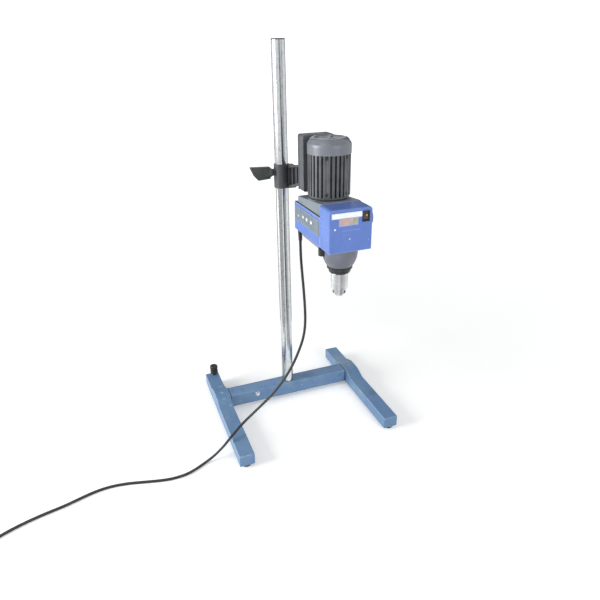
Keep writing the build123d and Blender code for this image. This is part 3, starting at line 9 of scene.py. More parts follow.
import bmesh
import bpy
from mathutils import Matrix, Vector

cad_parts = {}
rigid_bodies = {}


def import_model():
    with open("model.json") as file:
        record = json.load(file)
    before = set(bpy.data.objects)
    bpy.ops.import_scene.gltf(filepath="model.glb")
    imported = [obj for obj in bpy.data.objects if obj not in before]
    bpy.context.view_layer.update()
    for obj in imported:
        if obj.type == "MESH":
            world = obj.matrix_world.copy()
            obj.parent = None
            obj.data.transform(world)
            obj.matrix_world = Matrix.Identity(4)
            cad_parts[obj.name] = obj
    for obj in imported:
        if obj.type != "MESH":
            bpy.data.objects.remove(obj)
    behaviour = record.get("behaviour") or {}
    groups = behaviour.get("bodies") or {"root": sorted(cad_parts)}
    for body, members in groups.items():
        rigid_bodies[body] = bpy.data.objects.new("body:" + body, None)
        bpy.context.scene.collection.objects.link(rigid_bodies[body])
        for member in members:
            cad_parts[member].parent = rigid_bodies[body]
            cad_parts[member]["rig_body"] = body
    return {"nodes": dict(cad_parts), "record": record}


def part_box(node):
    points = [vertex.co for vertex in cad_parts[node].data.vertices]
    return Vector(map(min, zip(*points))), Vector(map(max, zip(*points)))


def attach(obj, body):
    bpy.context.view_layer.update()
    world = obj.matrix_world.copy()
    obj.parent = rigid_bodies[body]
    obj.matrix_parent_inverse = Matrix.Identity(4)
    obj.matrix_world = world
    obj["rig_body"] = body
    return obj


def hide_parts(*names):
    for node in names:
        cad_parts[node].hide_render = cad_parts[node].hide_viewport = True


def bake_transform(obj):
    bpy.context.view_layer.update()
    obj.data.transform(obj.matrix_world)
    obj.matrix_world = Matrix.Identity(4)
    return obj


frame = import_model()
# Blender's startup objects go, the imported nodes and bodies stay
for spare in [o for o in bpy.data.objects if o.type != "EMPTY" and "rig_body" not in o]:
    bpy.data.objects.remove(spare)
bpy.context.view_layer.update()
nodes = frame["nodes"]
scene = bpy.context.scene
mm = 0.001
slot_of = {part["node"]: part["material_slot"] for part in frame["record"]["subparts"]}
body_of = {node: shape["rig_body"] for node, shape in nodes.items()}


def put(name, data):
    """Puts a new object with this mesh, curve, lamp or lens into the scene."""
    shape = bpy.data.objects.new(name, data)
    scene.collection.objects.link(shape)
    return shape


# Camera, at the photograph's viewpoint
picture_side = 600
focal_length_pixels = 537.56
camera_place = Vector((-0.45577, -1.22521, 0.98835))
camera_heading, camera_dip, camera_roll = (math.radians(a) for a in (20.48, 25.13, -0.93))
lens = bpy.data.cameras.new("photo_camera")
lens.sensor_width = 36.0
lens.lens = focal_length_pixels / picture_side * lens.sensor_width
camera = put("photo_camera", lens)
ahead = Vector((
    math.sin(camera_heading) * math.cos(camera_dip),
    math.cos(camera_heading) * math.cos(camera_dip),
    -math.sin(camera_dip),
))
level_right = ahead.cross(Vector((0, 0, 1))).normalized()
level_up = level_right.cross(ahead)
right = level_right * math.cos(camera_roll) + level_up * math.sin(camera_roll)
up = level_up * math.cos(camera_roll) - level_right * math.sin(camera_roll)
view_turn = Matrix((right, up, -ahead)).transposed().to_4x4()
camera.matrix_world = Matrix.Translation(camera_place) @ view_turn
scene.camera = camera


# Helpers for finishes
def linear(code):
    """Turns an sRGB hex colour into the linear colour that shaders take."""
    parts = [int(code[i:i + 2], 16) / 255 for i in (0, 2, 4)]
    shares = [p / 12.92 if p <= 0.04045 else ((p + 0.055) / 1.055) ** 2.4 for p in parts]
    return (*shares, 1.0)


def add(tree, kind, inputs=None, **settings):
    """Adds a node with its settings; an input takes a value, or another node's output."""
    node = tree.nodes.new(kind)
    for name, value in settings.items():
        setattr(node, name, value)
    for name, value in (inputs or {}).items():
        if isinstance(value, bpy.types.NodeSocket):
            tree.links.new(value, node.inputs[name])
        else:
            node.inputs[name].default_value = value
    return node


def blank(name):
    """A new material with an empty node tree."""
    material = bpy.data.materials.new(name)
    material.use_nodes = True
    material.node_tree.nodes.clear()
    return material


def finish(name, colour, drift, drift_mm, roughness, grain_mm, grain_depth_mm, metallic=0.0,
           ior=1.5, stretch=(1, 1, 1)):
    """A finish whose colour drifts slowly between two shades, with a fine grain in its surface.
    Grains under a millimetre are drawn about twice as coarse as the real ones, so that they show."""
    material = blank(name)
    tree = material.node_tree
    place = add(tree, "ShaderNodeTexCoord").outputs["Object"]
    run = add(tree, "ShaderNodeMapping", {"Vector": place, "Scale": stretch}).outputs[0]
    slow = add(tree, "ShaderNodeTexNoise", {
        "Vector": run, "Scale": 1 / (drift_mm * mm), "Detail": 5.0})
    spread = add(tree, "ShaderNodeMapRange", {
        "Value": slow.outputs[0], "From Min": 0.35, "From Max": 0.65})
    shade = add(tree, "ShaderNodeMix", {
        0: spread.outputs[0], 6: linear(colour), 7: linear(drift)}, data_type="RGBA")
    polish = add(tree, "ShaderNodeMapRange", {
        "Value": slow.outputs[0], "From Min": 0.3, "From Max": 0.7,
        "To Min": roughness * 0.85, "To Max": roughness * 1.2})
    grain = add(tree, "ShaderNodeTexNoise", {
        "Vector": run, "Scale": 1 / (grain_mm * mm), "Detail": 3.0})
    relief = add(tree, "ShaderNodeBump", {
        "Strength": 1.0, "Distance": grain_depth_mm * mm, "Height": grain.outputs[0]})
    shader = add(tree, "ShaderNodeBsdfPrincipled", {
        "Base Color": shade.outputs[2], "Roughness": polish.outputs[0],
        "Normal": relief.outputs[0], "Metallic": metallic, "IOR": ior}, name="surface")
    add(tree, "ShaderNodeOutputMaterial", {"Surface": shader.outputs[0]})
    return material


def flecks(material, size_mm, level, softness=0.02, stretch=(1, 1, 1)):
    """A mask of irregular spots: the higher the level, the fewer they are."""
    tree = material.node_tree
    place = add(tree, "ShaderNodeTexCoord").outputs["Object"]
    run = add(tree, "ShaderNodeMapping", {"Vector": place, "Scale": stretch})
    cloud = add(tree, "ShaderNodeTexNoise", {
        "Vector": run.outputs[0], "Scale": 1 / (size_mm * mm), "Detail": 6.0, "Roughness": 0.6})
    cut = add(tree, "ShaderNodeMapRange", {
        "Value": cloud.outputs[0], "From Min": level, "From Max": level + softness})
    return cut.outputs[0]


def patch(material, centre_mm, radius_mm, ragged_mm=3.0):
    """A mask of one worn patch with a ragged edge."""
    tree = material.node_tree
    place = add(tree, "ShaderNodeTexCoord").outputs["Object"]
    wobble = add(tree, "ShaderNodeTexNoise", {
        "Vector": place, "Scale": 1 / (ragged_mm * mm), "Detail": 3.0})
    reach = add(tree, "ShaderNodeVectorMath", {
        0: place, 1: [c * mm for c in centre_mm]}, operation="DISTANCE")
    shifted = add(tree, "ShaderNodeMath", {
        0: wobble.outputs[0], 1: radius_mm * mm, 2: reach.outputs["Value"]}, operation="MULTIPLY_ADD")
    cut = add(tree, "ShaderNodeMapRange", {
        "Value": shifted.outputs[0], "From Min": radius_mm * 1.5 * mm,
        "From Max": radius_mm * 1.3 * mm})
    return cut.outputs[0]


def paint_over(material, mask, colour, strength=1.0):
    """Lays another colour over a finish where the mask is 1."""
    tree = material.node_tree
    shader = tree.nodes["surface"]
    under = shader.inputs["Base Color"].links[0].from_socket
    weight = add(tree, "ShaderNodeMath", {0: mask, 1: strength}, operation="MULTIPLY")
    mix = add(tree, "ShaderNodeMix", {
        0: weight.outputs[0], 6: under, 7: linear(colour)}, data_type="RGBA")
    tree.links.new(mix.outputs[2], shader.inputs["Base Color"])


# Alkyd enamel on steel, brushed on years ago: dull blue, greyer where it was touched up, with
# light chips down to the primer and dark scuffs
stand_enamel = finish("stand_enamel", "6786a9", "5c7ea6", 70, 0.42, 1.6, 0.05)
paint_over(stand_enamel, flecks(stand_enamel, 60, 0.57, 0.1), "7a93a0", 0.45)
paint_over(stand_enamel, flecks(stand_enamel, 14, 0.62, 0.05, (1, 0.4, 1)), "4d6c92", 0.6)
paint_over(stand_enamel, flecks(stand_enamel, 6, 0.69, 0.02), "a9b8b4", 0.8)
worn_spots = [  # place and radius in millimetres, and how much of the blue is gone
    ((39, 94.25, 33.5), 2.5, 0.75), ((83, 94.25, 41), 2.2, 0.75), ((-204, 165, 43), 9, 0.5),
    ((-210, 90, 48), 7, 0.4), ((-196, 62, 46), 6, 0.5)]
for spot, radius, cover in worn_spots:
    paint_over(stand_enamel, patch(stand_enamel, spot, radius), "9fb3a4", cover)
dark_scuff = patch(stand_enamel, (218, -34, 40.5), 13)
paint_over(stand_enamel, dark_scuff, "5a6f84", 0.8)
# Painted shade: a dark band at each end of the crossbar where it meets the legs, standing for the
# shade in the seam between the parts, drawn 4 mm wide so that it shows
joint_shade_begins, joint_shade_is_full, joint_shade_ends = 184.9 * mm, 186.1 * mm, 189.42 * mm
tree = stand_enamel.node_tree
along = add(tree, "ShaderNodeSeparateXYZ", {0: add(tree, "ShaderNodeTexCoord").outputs["Object"]})
from_middle = add(tree, "ShaderNodeMath", {0: along.outputs[0]}, operation="ABSOLUTE").outputs[0]
joint_shade_ramp = add(tree, "ShaderNodeMapRange", {
    "Value": from_middle, "From Min": joint_shade_begins, "From Max": joint_shade_is_full}).outputs[0]
on_crossbar = add(tree, "ShaderNodeMath", {
    0: from_middle, 1: joint_shade_ends}, operation="LESS_THAN").outputs[0]
painted_joint_shade = add(tree, "ShaderNodeMath", {0: joint_shade_ramp, 1: on_crossbar}, operation="MULTIPLY").outputs[0]
paint_over(stand_enamel, painted_joint_shade, "1d2a36", 0.9)
# The same enamel rubbed thin along edges, where the primer greys it
rubbed_edge = finish("rubbed_enamel_edge", "9db0be", "7391ad", 9, 0.5, 1.2, 0.05)
# The set screws in the humps were brushed over with the frame
screw_enamel = finish("brushed_over_screw_enamel", "93a9a5", "7c96a6", 4, 0.5, 1.0, 0.08)
# Hard chromium plate on a drawn tube: nearly a mirror, with faint draw marks along its length
tube_chrome = finish("tube_chrome", "dcdfe0", "c6cacc", 30, 0.13, 4, 0.006, metallic=1.0,
                     stretch=(1, 1, 0.06))
# Grey mottling laid over the chrome's colour: painted reflection of the room's greys
paint_over(tube_chrome, flecks(tube_chrome, 5, 0.5, 0.16, (1, 1, 0.4)), "9ea4a6", 0.55)
# Turned and milled steel, greyed by handling
machined_steel = finish("machined_steel", "a9aaa8", "8f908f", 8, 0.34, 0.7, 0.01, metallic=1.0)
# Zinc-plated fastener, bright and slightly blue
bright_zinc = finish("bright_zinc_plate", "dfe3e6", "c4cacf", 4, 0.25, 0.5, 0.01, metallic=1.0)
# Tool steel of the chuck, turned and dulled by handling: bright, with a broad soft shine
chuck_steel = finish("turned_chuck_steel", "e2e4e5", "cfd2d3", 6, 0.36, 0.5, 0.006, metallic=1.0,
                     stretch=(0.2, 0.2, 1))
# Sand-cast aluminium under black-grey crinkle paint: rough, with soft highlights
cast_crinkle = finish("cast_crinkle_paint", "47484b", "3e3f42", 20, 0.55, 1.4, 0.14)
# Sheet box in a lighter crinkle paint
box_crinkle = finish("box_crinkle_paint", "54575b", "4b4e52", 30, 0.6, 1.7, 0.16)
# Die-cast motor frame in satin grey paint
frame_paint = finish("motor_frame_paint", "57595d", "484a4e", 18, 0.42, 1.0, 0.05)
# Moulded ABS fan cover and neck: smooth mid grey with a fine spark-eroded grain
cover_abs = finish("fan_cover_abs", "6c717a", "646972", 40, 0.36, 0.9, 0.015, ior=1.53)
bell_abs = finish("neck_bell_abs", "6d707a", "62656f", 30, 0.4, 0.9, 0.02, ior=1.53)
# Stoved enamel of the gearbox housing: satin blue, slightly uneven from spraying
blue_enamel = finish("housing_blue_enamel", "5f7cc3", "5874bb", 50, 0.3, 2.2, 0.03)
paint_over(blue_enamel, flecks(blue_enamel, 9, 0.71, 0.02), "7f97d2", 0.6)
# The same enamel along the housing's edges, rubbed smooth, with a painted highlight: pale blue where
# the edges catch the light
blue_edge_highlight = finish("polished_enamel_edge", "b4c2ee", "8ea3dc", 14, 0.22, 1.5, 0.02)
# Hammered grey enamel of the deck and the tray
deck_enamel = finish("deck_grey_enamel", "7d868e", "727b84", 25, 0.42, 1.3, 0.05)
# Moulded polyamide and ABS, black with a satin skin
black_plastic = finish("moulded_black_plastic", "2b2c2d", "242526", 15, 0.42, 0.8, 0.02, ior=1.53)
handle_plastic = finish("glass_filled_handle_nylon", "545855", "474b49", 18, 0.5, 1.0, 0.04,
                        ior=1.53)
knob_plastic = finish("blue_knob_plastic", "5661a6", "4c5799", 15, 0.35, 0.9, 0.02, ior=1.53)
# Vulcanised rubber, matt with a trace of dust; the same matt black also serves as painted shade, in
# the deck's seam and in the chuck's key holes
rubber_and_painted_shade = finish("foot_rubber", "232323", "2e2d2c", 8, 0.8, 0.9, 0.06, ior=1.52)
# Extruded PVC sheath of the lead, dull and a little marked
sheath = finish("cable_sheath_pvc", "232424", "1b1c1c", 25, 0.48, 1.2, 0.02, ior=1.54)
# Foils of polyester with a gloss face, and the inks printed on foil and enamel
white_foil = finish("white_title_foil", "eff4fa", "e3eaf5", 12, 0.25, 1.5, 0.004, ior=1.6)
plate_foil = finish("printed_side_foil", "6e7a84", "626f79", 12, 0.38, 1.0, 0.01, ior=1.6)
paint_over(plate_foil, flecks(plate_foil, 5, 0.56, 0.05, (1, 1.4, 0.2)), "7f8889", 0.6)
white_print = finish("white_screen_print", "edf1f3", "dfe5ea", 5, 0.45, 0.8, 0.004)
pale_print = finish("pale_blue_screen_print", "93a5dc", "8a9dd6", 5, 0.45, 0.8, 0.004)
# Tinted acrylic over an unlit numeral display
tinted_window = finish("tinted_display_acrylic", "c3aca8", "b29fa4", 9, 0.14, 3, 0.002, ior=1.49)
unlit_numeral = finish("unlit_numeral", "cda593", "c8ab97", 6, 0.3, 1, 0.002)
green_field = finish("green_display_field", "a3ab92", "969f8c", 6, 0.2, 1, 0.002)
# Clear amber acrylic of the switch's lamp
amber_lens = finish("amber_lamp_lens", "f0a852", "e9962f", 2, 0.15, 1, 0.002, ior=1.49)
# Inside, hardly seen: cast alloy and varnished motor laminations
cast_alloy = finish("cast_alloy", "a5a7a9", "97999b", 12, 0.45, 1.2, 0.04, metallic=1.0)
lamination = finish("varnished_lamination", "55483f", "47403a", 3, 0.5, 0.6, 0.03,
                    stretch=(0.1, 0.1, 3))

finish_of_slot = {
    "stand_paint": stand_enamel, "bare_steel": machined_steel, "column_chrome": tube_chrome,
    "black_rubber": rubber_and_painted_shade, "black_plastic": black_plastic, "cast_grey": cast_crinkle,
    "cover_grey": cover_abs, "deck_grey": deck_enamel, "housing_blue": blue_enamel,
    "title_white": white_foil, "display_red": tinted_window, "plate_olive": plate_foil,
    "chuck_steel": chuck_steel, "alloy": cast_alloy, "lamination": lamination, "cord_black": sheath,
}


def dress(shape, *materials):
    """Gives a shape these materials and no others."""
    shape.data.materials.clear()
    for material in materials:
        shape.data.materials.append(material)


for node, shape in nodes.items():
    dress(shape, finish_of_slot[slot_of[node]])
# The screws in the humps and the motor's tie bolts have a finish of their own
dress(nodes["leg_screws"], screw_enamel)
dress(nodes["tie_bolts"], black_plastic)


# Helpers for pieces; the calls that tie a piece to its body come once every mesh is final
made = []  # each piece with its body and its slot
stand_ins = []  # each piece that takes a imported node's place, with that node


def plain_mesh(name, work):
    """Turns a bmesh into a new mesh with nothing carried over but its shape and materials."""
    work.verts.index_update()
    mesh = bpy.data.meshes.new(name)
    mesh.from_pydata([v.co[:] for v in work.verts], [],
                     [[v.index for v in f.verts] for f in work.faces])
    mesh.polygons.foreach_set("material_index", [f.material_index for f in work.faces])
    work.free()
    mesh.polygons.foreach_set("use_smooth", [True] * len(mesh.polygons))
    mesh.set_sharp_from_angle(angle=math.radians(38))
    mesh.update()
    return mesh


def piece(name, mesh, body, slot, *materials):
    """Puts a mesh in the scene as a piece that is to move with a body."""
    shape = put(name, mesh)
    dress(shape, *materials)
    made.append((shape, body, slot))
    return shape


def settle(shape):
    """Applies a piece's modifiers, so that it is a plain mesh."""
    graph = bpy.context.evaluated_depsgraph_get()
    mesh = bpy.data.meshes.new_from_object(
        shape.evaluated_get(graph), preserve_all_data_layers=True, depsgraph=graph)
    shape.modifiers.clear()
    shape.data = mesh
    return shape


def softened(node, edge_mm, material, edge_material=None, sunk=None, held_back=False):
    """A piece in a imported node's own shape, with its edges rounded and, if asked, its flat sides
    sunk: (direction, border and depth in millimetres)."""
    work = bmesh.new()
    work.from_mesh(nodes[node].data)
    bmesh.ops.remove_doubles(work, verts=work.verts, dist=0.004 * mm)
    bmesh.ops.dissolve_limit(work, angle_limit=math.radians(0.6), verts=work.verts, edges=work.edges)
    for face in work.faces:
        face.material_index = 0
    if sunk:
        direction, border, depth = Vector(sunk[0]), sunk[1] * mm, sunk[2] * mm
        facing = [f for f in work.faces if f.normal.dot(direction) > 0.999]
        widest = max(facing, key=lambda f: f.calc_area())
        bmesh.ops.inset_region(
            work, faces=[widest], thickness=border, depth=-depth, use_even_offset=True)
    name = node + "_dressed"
    shape = piece(name, plain_mesh(name, work), body_of[node], slot_of[node],
                  material, edge_material or material)
    rounding = shape.modifiers.new("edge", "BEVEL")
    rounding.width = edge_mm * mm
    rounding.segments = 2
    rounding.limit_method = "ANGLE"
    rounding.angle_limit = math.radians(40)
    rounding.use_clamp_overlap = held_back
    rounding.material = 1
    even = shape.modifiers.new("even", "WEIGHTED_NORMAL")
    even.keep_sharp = True
    stand_ins.append((settle(shape), node))
    return shape


def turned(name, outline_mm, centre_mm, body, slot, material, facing=(0, 0, 1), steps=72):
    """A piece turned round an axis from (radius, height) points, listed from foot to top."""
    work = bmesh.new()
    rings = []
    for radius, height in outline_mm:
        if radius == 0:
            rings.append([work.verts.new((0, 0, height * mm))])
            continue
        angles = [2 * math.pi * i / steps for i in range(steps)]
        rings.append([
            work.verts.new((radius * mm * math.cos(a), radius * mm * math.sin(a), height * mm))
            for a in angles])
    for under, over in zip(rings, rings[1:]):
        for i in range(steps):
            j = (i + 1) % steps
            corners = [under[i % len(under)], under[j % len(under)],
                       over[j % len(over)], over[i % len(over)]]
            work.faces.new(list(dict.fromkeys(corners)))
    if len(rings[0]) > 1:
        for i in range(steps):
            j = (i + 1) % steps
            work.faces.new([rings[-1][i], rings[-1][j], rings[0][j], rings[0][i]])
    turn = Vector((0, 0, 1)).rotation_difference(Vector(facing)).to_matrix().to_4x4()
    work.transform(Matrix.Translation(Vector(centre_mm) * mm) @ turn)
    bmesh.ops.recalc_face_normals(work, faces=work.faces)
    return piece(name, plain_mesh(name, work), body, slot, material)


def plates(name, corners_mm, body, slot, material):
    """A piece made of thin plates, each from its lowest and highest corner."""
    work = bmesh.new()
    for first, last in corners_mm:
        first, last = Vector(first) * mm, Vector(last) * mm
        plate = bmesh.ops.create_cube(work, size=1.0)["verts"]
        bmesh.ops.scale(work, verts=plate, vec=last - first)
        bmesh.ops.translate(work, verts=plate, vec=(first + last) / 2)
    return piece(name, plain_mesh(name, work), body, slot, material)


def new_tree(name, sockets):
    """An empty geometry node tree that takes a shape and the named inputs, and gives a shape."""
    tree = bpy.data.node_groups.new(name, "GeometryNodeTree")
    tree.interface.new_socket("Shape", in_out="INPUT", socket_type="NodeSocketGeometry")
    for socket, kind in sockets.items():
        tree.interface.new_socket(socket, in_out="INPUT", socket_type=kind)
    tree.interface.new_socket("Shape", in_out="OUTPUT", socket_type="NodeSocketGeometry")
    return tree


def apply_tree(shape, tree, values):
    """Runs a geometry node tree on a piece and keeps the result as its mesh."""
    step = shape.modifiers.new(tree.name, "NODES")
    step.node_group = tree
    for socket in tree.interface.items_tree:
        if socket.item_type == "SOCKET" and socket.in_out == "INPUT" and socket.name in values:
            step[socket.identifier] = values[socket.name]
    return settle(shape)


# A ring of round ribs, joined to the knob or collar that they stand on
rib_ring = new_tree("rib_ring", {
    "Count": "NodeSocketInt", "Ring radius": "NodeSocketFloat", "Rib radius": "NodeSocketFloat",
    "Rib length": "NodeSocketFloat", "Centre": "NodeSocketVector", "Turn": "NodeSocketVector",
    "Finish": "NodeSocketMaterial"})
given = add(rib_ring, "NodeGroupInput").outputs
spots = add(rib_ring, "GeometryNodeMeshCircle", {
    "Vertices": given["Count"], "Radius": given["Ring radius"]})
# Each rib is a fine eight-sided rod, half sunk in its piece
rib = add(rib_ring, "GeometryNodeMeshCylinder", {
    "Vertices": 8, "Radius": given["Rib radius"], "Depth": given["Rib length"]})
ribs = add(rib_ring, "GeometryNodeInstanceOnPoints", {
    "Points": spots.outputs["Mesh"], "Instance": rib.outputs["Mesh"]})
placed = add(rib_ring, "GeometryNodeTransform", {
    "Geometry": ribs.outputs[0], "Translation": given["Centre"], "Rotation": given["Turn"]})
joined = add(rib_ring, "GeometryNodeJoinGeometry", {"Geometry": given["Shape"]})
rib_ring.links.new(placed.outputs[0], joined.inputs[0])
real = add(rib_ring, "GeometryNodeRealizeInstances", {"Geometry": joined.outputs[0]})
dressed = add(rib_ring, "GeometryNodeSetMaterial", {
    "Geometry": real.outputs[0], "Material": given["Finish"]})
add(rib_ring, "NodeGroupOutput", {"Shape": dressed.outputs[0]})


def ribbed(shape, count, ring_mm, rib_mm, length_mm, centre_mm, material, turn=(0, 0, 0)):
    """Adds a ring of ribs to a piece, round a centre and turned by degrees from upright."""
    return apply_tree(shape, rib_ring, {
        "Count": count, "Ring radius": ring_mm * mm, "Rib radius": rib_mm * mm,
        "Rib length": length_mm * mm, "Centre": tuple(c * mm for c in centre_mm),
        "Turn": tuple(math.radians(a) for a in turn), "Finish": material})


# Places shared by several pieces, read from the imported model, in millimetres
def low(node):
    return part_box(node)[0] / mm


def high(node):
    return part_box(node)[1] / mm


def middle(node):
    return (low(node) + high(node)) / 2


front_y = low("front_cover").y
column_y = middle("column_tube").y
motor_centre = middle("fan_cover")
spindle_centre = middle("neck_collar")

# Stand
for part in ("left_leg", "right_leg", "crossbar"):
    softened(part, 1.2, stand_enamel, rubbed_edge)
softened("rubber_feet", 0.8, rubber_and_painted_shade)
softened("earth_bolt", 0.4, bright_zinc)
knob = middle("levelling_screw")
knob_foot, knob_top = low("levelling_screw").z, high("levelling_screw").z
grip = (high("levelling_screw").x - low("levelling_screw").x) / 2 - 0.5
levelling_outline = [
    (0, knob_foot), (3.5, knob_foot), (3.5, 6.3), (5, 6.3), (5, knob_top - 26),
    (grip - 1.2, knob_top - 26), (grip - 0.4, knob_top - 25), (grip - 0.4, knob_top - 16),
    (grip - 1.4, knob_top - 15), (7.5, knob_top - 14.6), (7.5, knob_top - 12.2),
    (grip - 0.8, knob_top - 12), (grip - 0.2, knob_top - 11), (grip - 0.2, knob_top - 1.2),
    (grip - 1.0, knob_top - 0.2), (7.6, knob_top), (7.0, knob_top - 1.5), (0, knob_top - 1.8)]
levelling_knob = turned("levelling_knob_grip", levelling_outline, (knob.x, knob.y, 0),
                        "levelling_knob", slot_of["levelling_screw"], black_plastic, steps=48)
for ring, length, drop in ((grip - 0.3, 9.4, 6), (grip - 0.5, 8.4, 20.5)):
    ribbed(levelling_knob, 22, ring, 0.8, length, (knob.x, knob.y, knob_top - drop), black_plastic)
stand_ins.append((levelling_knob, "levelling_screw"))

# Clamp and handle
softened("clamp_arm", 0.7, cast_crinkle, held_back=True)
softened("clamp_screw", 1.0, handle_plastic, sunk=((0, -1, 0), 3.0, 1.4))
clamp_screw_z, collar_x = 696.0, -27.6
handle_collar = [(8.0, 0), (10.6, 0), (11.2, 0.6), (11.2, 4.4), (10.4, 5.2), (8.0, 5.2)]
turned("handle_collar", handle_collar, (collar_x, column_y, clamp_screw_z), "clamp_handle",
       slot_of["clamp_screw"], handle_plastic, facing=(-1, 0, 0), steps=48)

# Motor
softened("motor_box", 0.8, box_crinkle)
softened("motor_frame", 0.45, frame_paint)
softened("motor_end_shield", 0.4, frame_paint)

# Each of the four ridges between the fins has a sunk screw near its foot and one near its top
fin_radius = 47.2
screw_outline = [(0, -2.0), (3.5, -2.0), (3.5, 0.25), (2.9, 0.55), (1.7, 0.55), (1.5, -0.8),
                 (0, -0.8)]
for end, height in (("low", 702.0), ("high", 778.0)):
    for degrees in (-30, 30, 150, 210):
        heading = math.radians(degrees - 90)
        out = Vector((math.cos(heading), math.sin(heading), 0))
        turned(f"boss_screw_{end}_{degrees % 360}", screw_outline,
               Vector((motor_centre.x, motor_centre.y, height)) + out * fin_radius,
               "head", "black_plastic", black_plastic, facing=out, steps=24)

# Fan cover: a thin shell whose shoulder is pressed in between its four screw ridges
cover_foot, cover_top = low("fan_cover").z, high("fan_cover").z
cover_radius, cover_corner, cover_wall = 48.2, 12.0, 2.2
bend = [math.radians(90 * i / 10) for i in range(11)]
side_step = (cover_top - cover_corner - cover_foot) / 4
cover_outline = [(0, cover_foot + 0.1), (cover_radius - cover_wall, cover_foot),
                 (cover_radius, cover_foot)]
cover_outline += [(cover_radius, cover_foot + side_step * i) for i in range(1, 4)]
cover_outline += [(cover_radius - cover_corner * (1 - math.cos(a)),
                   cover_top - cover_corner * (1 - math.sin(a))) for a in bend]
cover_outline += [(33.5, cover_top), (32, cover_top - 0.5), (30.5, cover_top - 1.2),
                  (20, cover_top - 1.6), (10, cover_top - 1.8), (0, cover_top - 1.8)]
fan_cover = turned("fan_cover_shell", cover_outline, (motor_centre.x, motor_centre.y, 0), "head",
                   slot_of["fan_cover"], cover_abs, steps=160)
# The tree presses the shell in along its normals, except near the ridges. A ridge's place is the
# sine of its angle from the motor's middle, seen from above: here 30 degrees to each side.
crown = new_tree("pressed_crown", {
    "Ridge place": "NodeSocketFloat", "Depth": "NodeSocketFloat", "Axis": "NodeSocketVector",
    "Foot": "NodeSocketFloat", "Top": "NodeSocketFloat", "Finish": "NodeSocketMaterial"})
given = add(crown, "NodeGroupInput").outputs
away = add(crown, "ShaderNodeVectorMath", {
    0: add(crown, "GeometryNodeInputPosition").outputs[0], 1: given["Axis"]}, operation="SUBTRACT")
split = add(crown, "ShaderNodeSeparateXYZ", {0: away.outputs[0]})
level = add(crown, "ShaderNodeCombineXYZ", {0: split.outputs[0], 1: split.outputs[1]})
reach = add(crown, "ShaderNodeVectorMath", {0: level.outputs[0]}, operation="LENGTH")
sideways = add(crown, "ShaderNodeMath", {
    0: split.outputs[0], 1: reach.outputs["Value"]}, operation="DIVIDE")
mirrored = add(crown, "ShaderNodeMath", {0: sideways.outputs[0]}, operation="ABSOLUTE")
past = add(crown, "ShaderNodeMath", {
    0: mirrored.outputs[0], 1: given["Ridge place"]}, operation="SUBTRACT")
from_ridge = add(crown, "ShaderNodeMath", {0: past.outputs[0]}, operation="ABSOLUTE")
hollow = add(crown, "ShaderNodeMapRange", {
    "Value": from_ridge.outputs[0], "From Min": 0.05, "From Max": 0.3},
             interpolation_type="SMOOTHSTEP")
rise = add(crown, "ShaderNodeMapRange", {
    "Value": split.outputs[2], "From Min": given["Foot"], "From Max": given["Top"]})
arch = add(crown, "ShaderNodeMath", {0: rise.outputs[0], 1: math.pi}, operation="MULTIPLY")
window = add(crown, "ShaderNodeMath", {0: arch.outputs[0]}, operation="SINE")
amount = add(crown, "ShaderNodeMath", {
    0: hollow.outputs[0], 1: window.outputs[0]}, operation="MULTIPLY")
inward = add(crown, "ShaderNodeMath", {
    0: amount.outputs[0], 1: given["Depth"]}, operation="MULTIPLY")
push = add(crown, "ShaderNodeVectorMath", {
    0: add(crown, "GeometryNodeInputNormal").outputs[0], "Scale": inward.outputs[0]},
           operation="SCALE")
pressed = add(crown, "GeometryNodeSetPosition", {
    "Geometry": given["Shape"], "Offset": push.outputs[0]})
real = add(crown, "GeometryNodeRealizeInstances", {"Geometry": pressed.outputs[0]})
dressed = add(crown, "GeometryNodeSetMaterial", {
    "Geometry": real.outputs[0], "Material": given["Finish"]})
add(crown, "NodeGroupOutput", {"Shape": dressed.outputs[0]})
apply_tree(fan_cover, crown, {
    "Ridge place": 0.5, "Depth": -2.4 * mm,
    "Axis": (motor_centre.x * mm, motor_centre.y * mm, 0.0),
    "Foot": (cover_top - 12.5) * mm, "Top": (cover_top + 1.0) * mm, "Finish": cover_abs})
stand_ins.append((fan_cover, "fan_cover"))

# Gearbox housing
softened("gearbox_deck", 0.8, deck_enamel)
softened("rear_cover", 0.7, blue_enamel, blue_edge_highlight)
softened("front_cover", 0.9, blue_enamel, blue_edge_highlight)
softened("base_tray", 0.5, deck_enamel)
softened("title_strip", 0.2, white_foil)
softened("side_plate", 0.25, plate_foil)

deck_low, deck_high = low("gearbox_deck"), high("gearbox_deck")
# Painted shadow: a thin black strip stands out a little along both sides of the deck and up its front
# corners, where the step between the deck and the covers casts its shade
seam_z = 661.0
shadow_strip_foot, shadow_strip_side_top, shadow_strip_corner_top = seam_z - 0.3, seam_z + 1.9, seam_z + 26
shadow_strip_sides = ((deck_low.x - 1.6, deck_low.x + 0.5), (deck_high.x - 0.5, deck_high.x + 1.6))
deck_seam_shadow = []
for x0, x1 in shadow_strip_sides:
    deck_seam_shadow.append(((x0, deck_low.y + 1.4, shadow_strip_foot), (x1, deck_high.y, shadow_strip_side_top)))
    deck_seam_shadow.append(((x0, deck_low.y + 0.1, shadow_strip_foot), (x1, deck_low.y + 1.5, shadow_strip_corner_top)))
plates("cover_gasket", deck_seam_shadow, "head", "black_rubber", rubber_and_painted_shade)

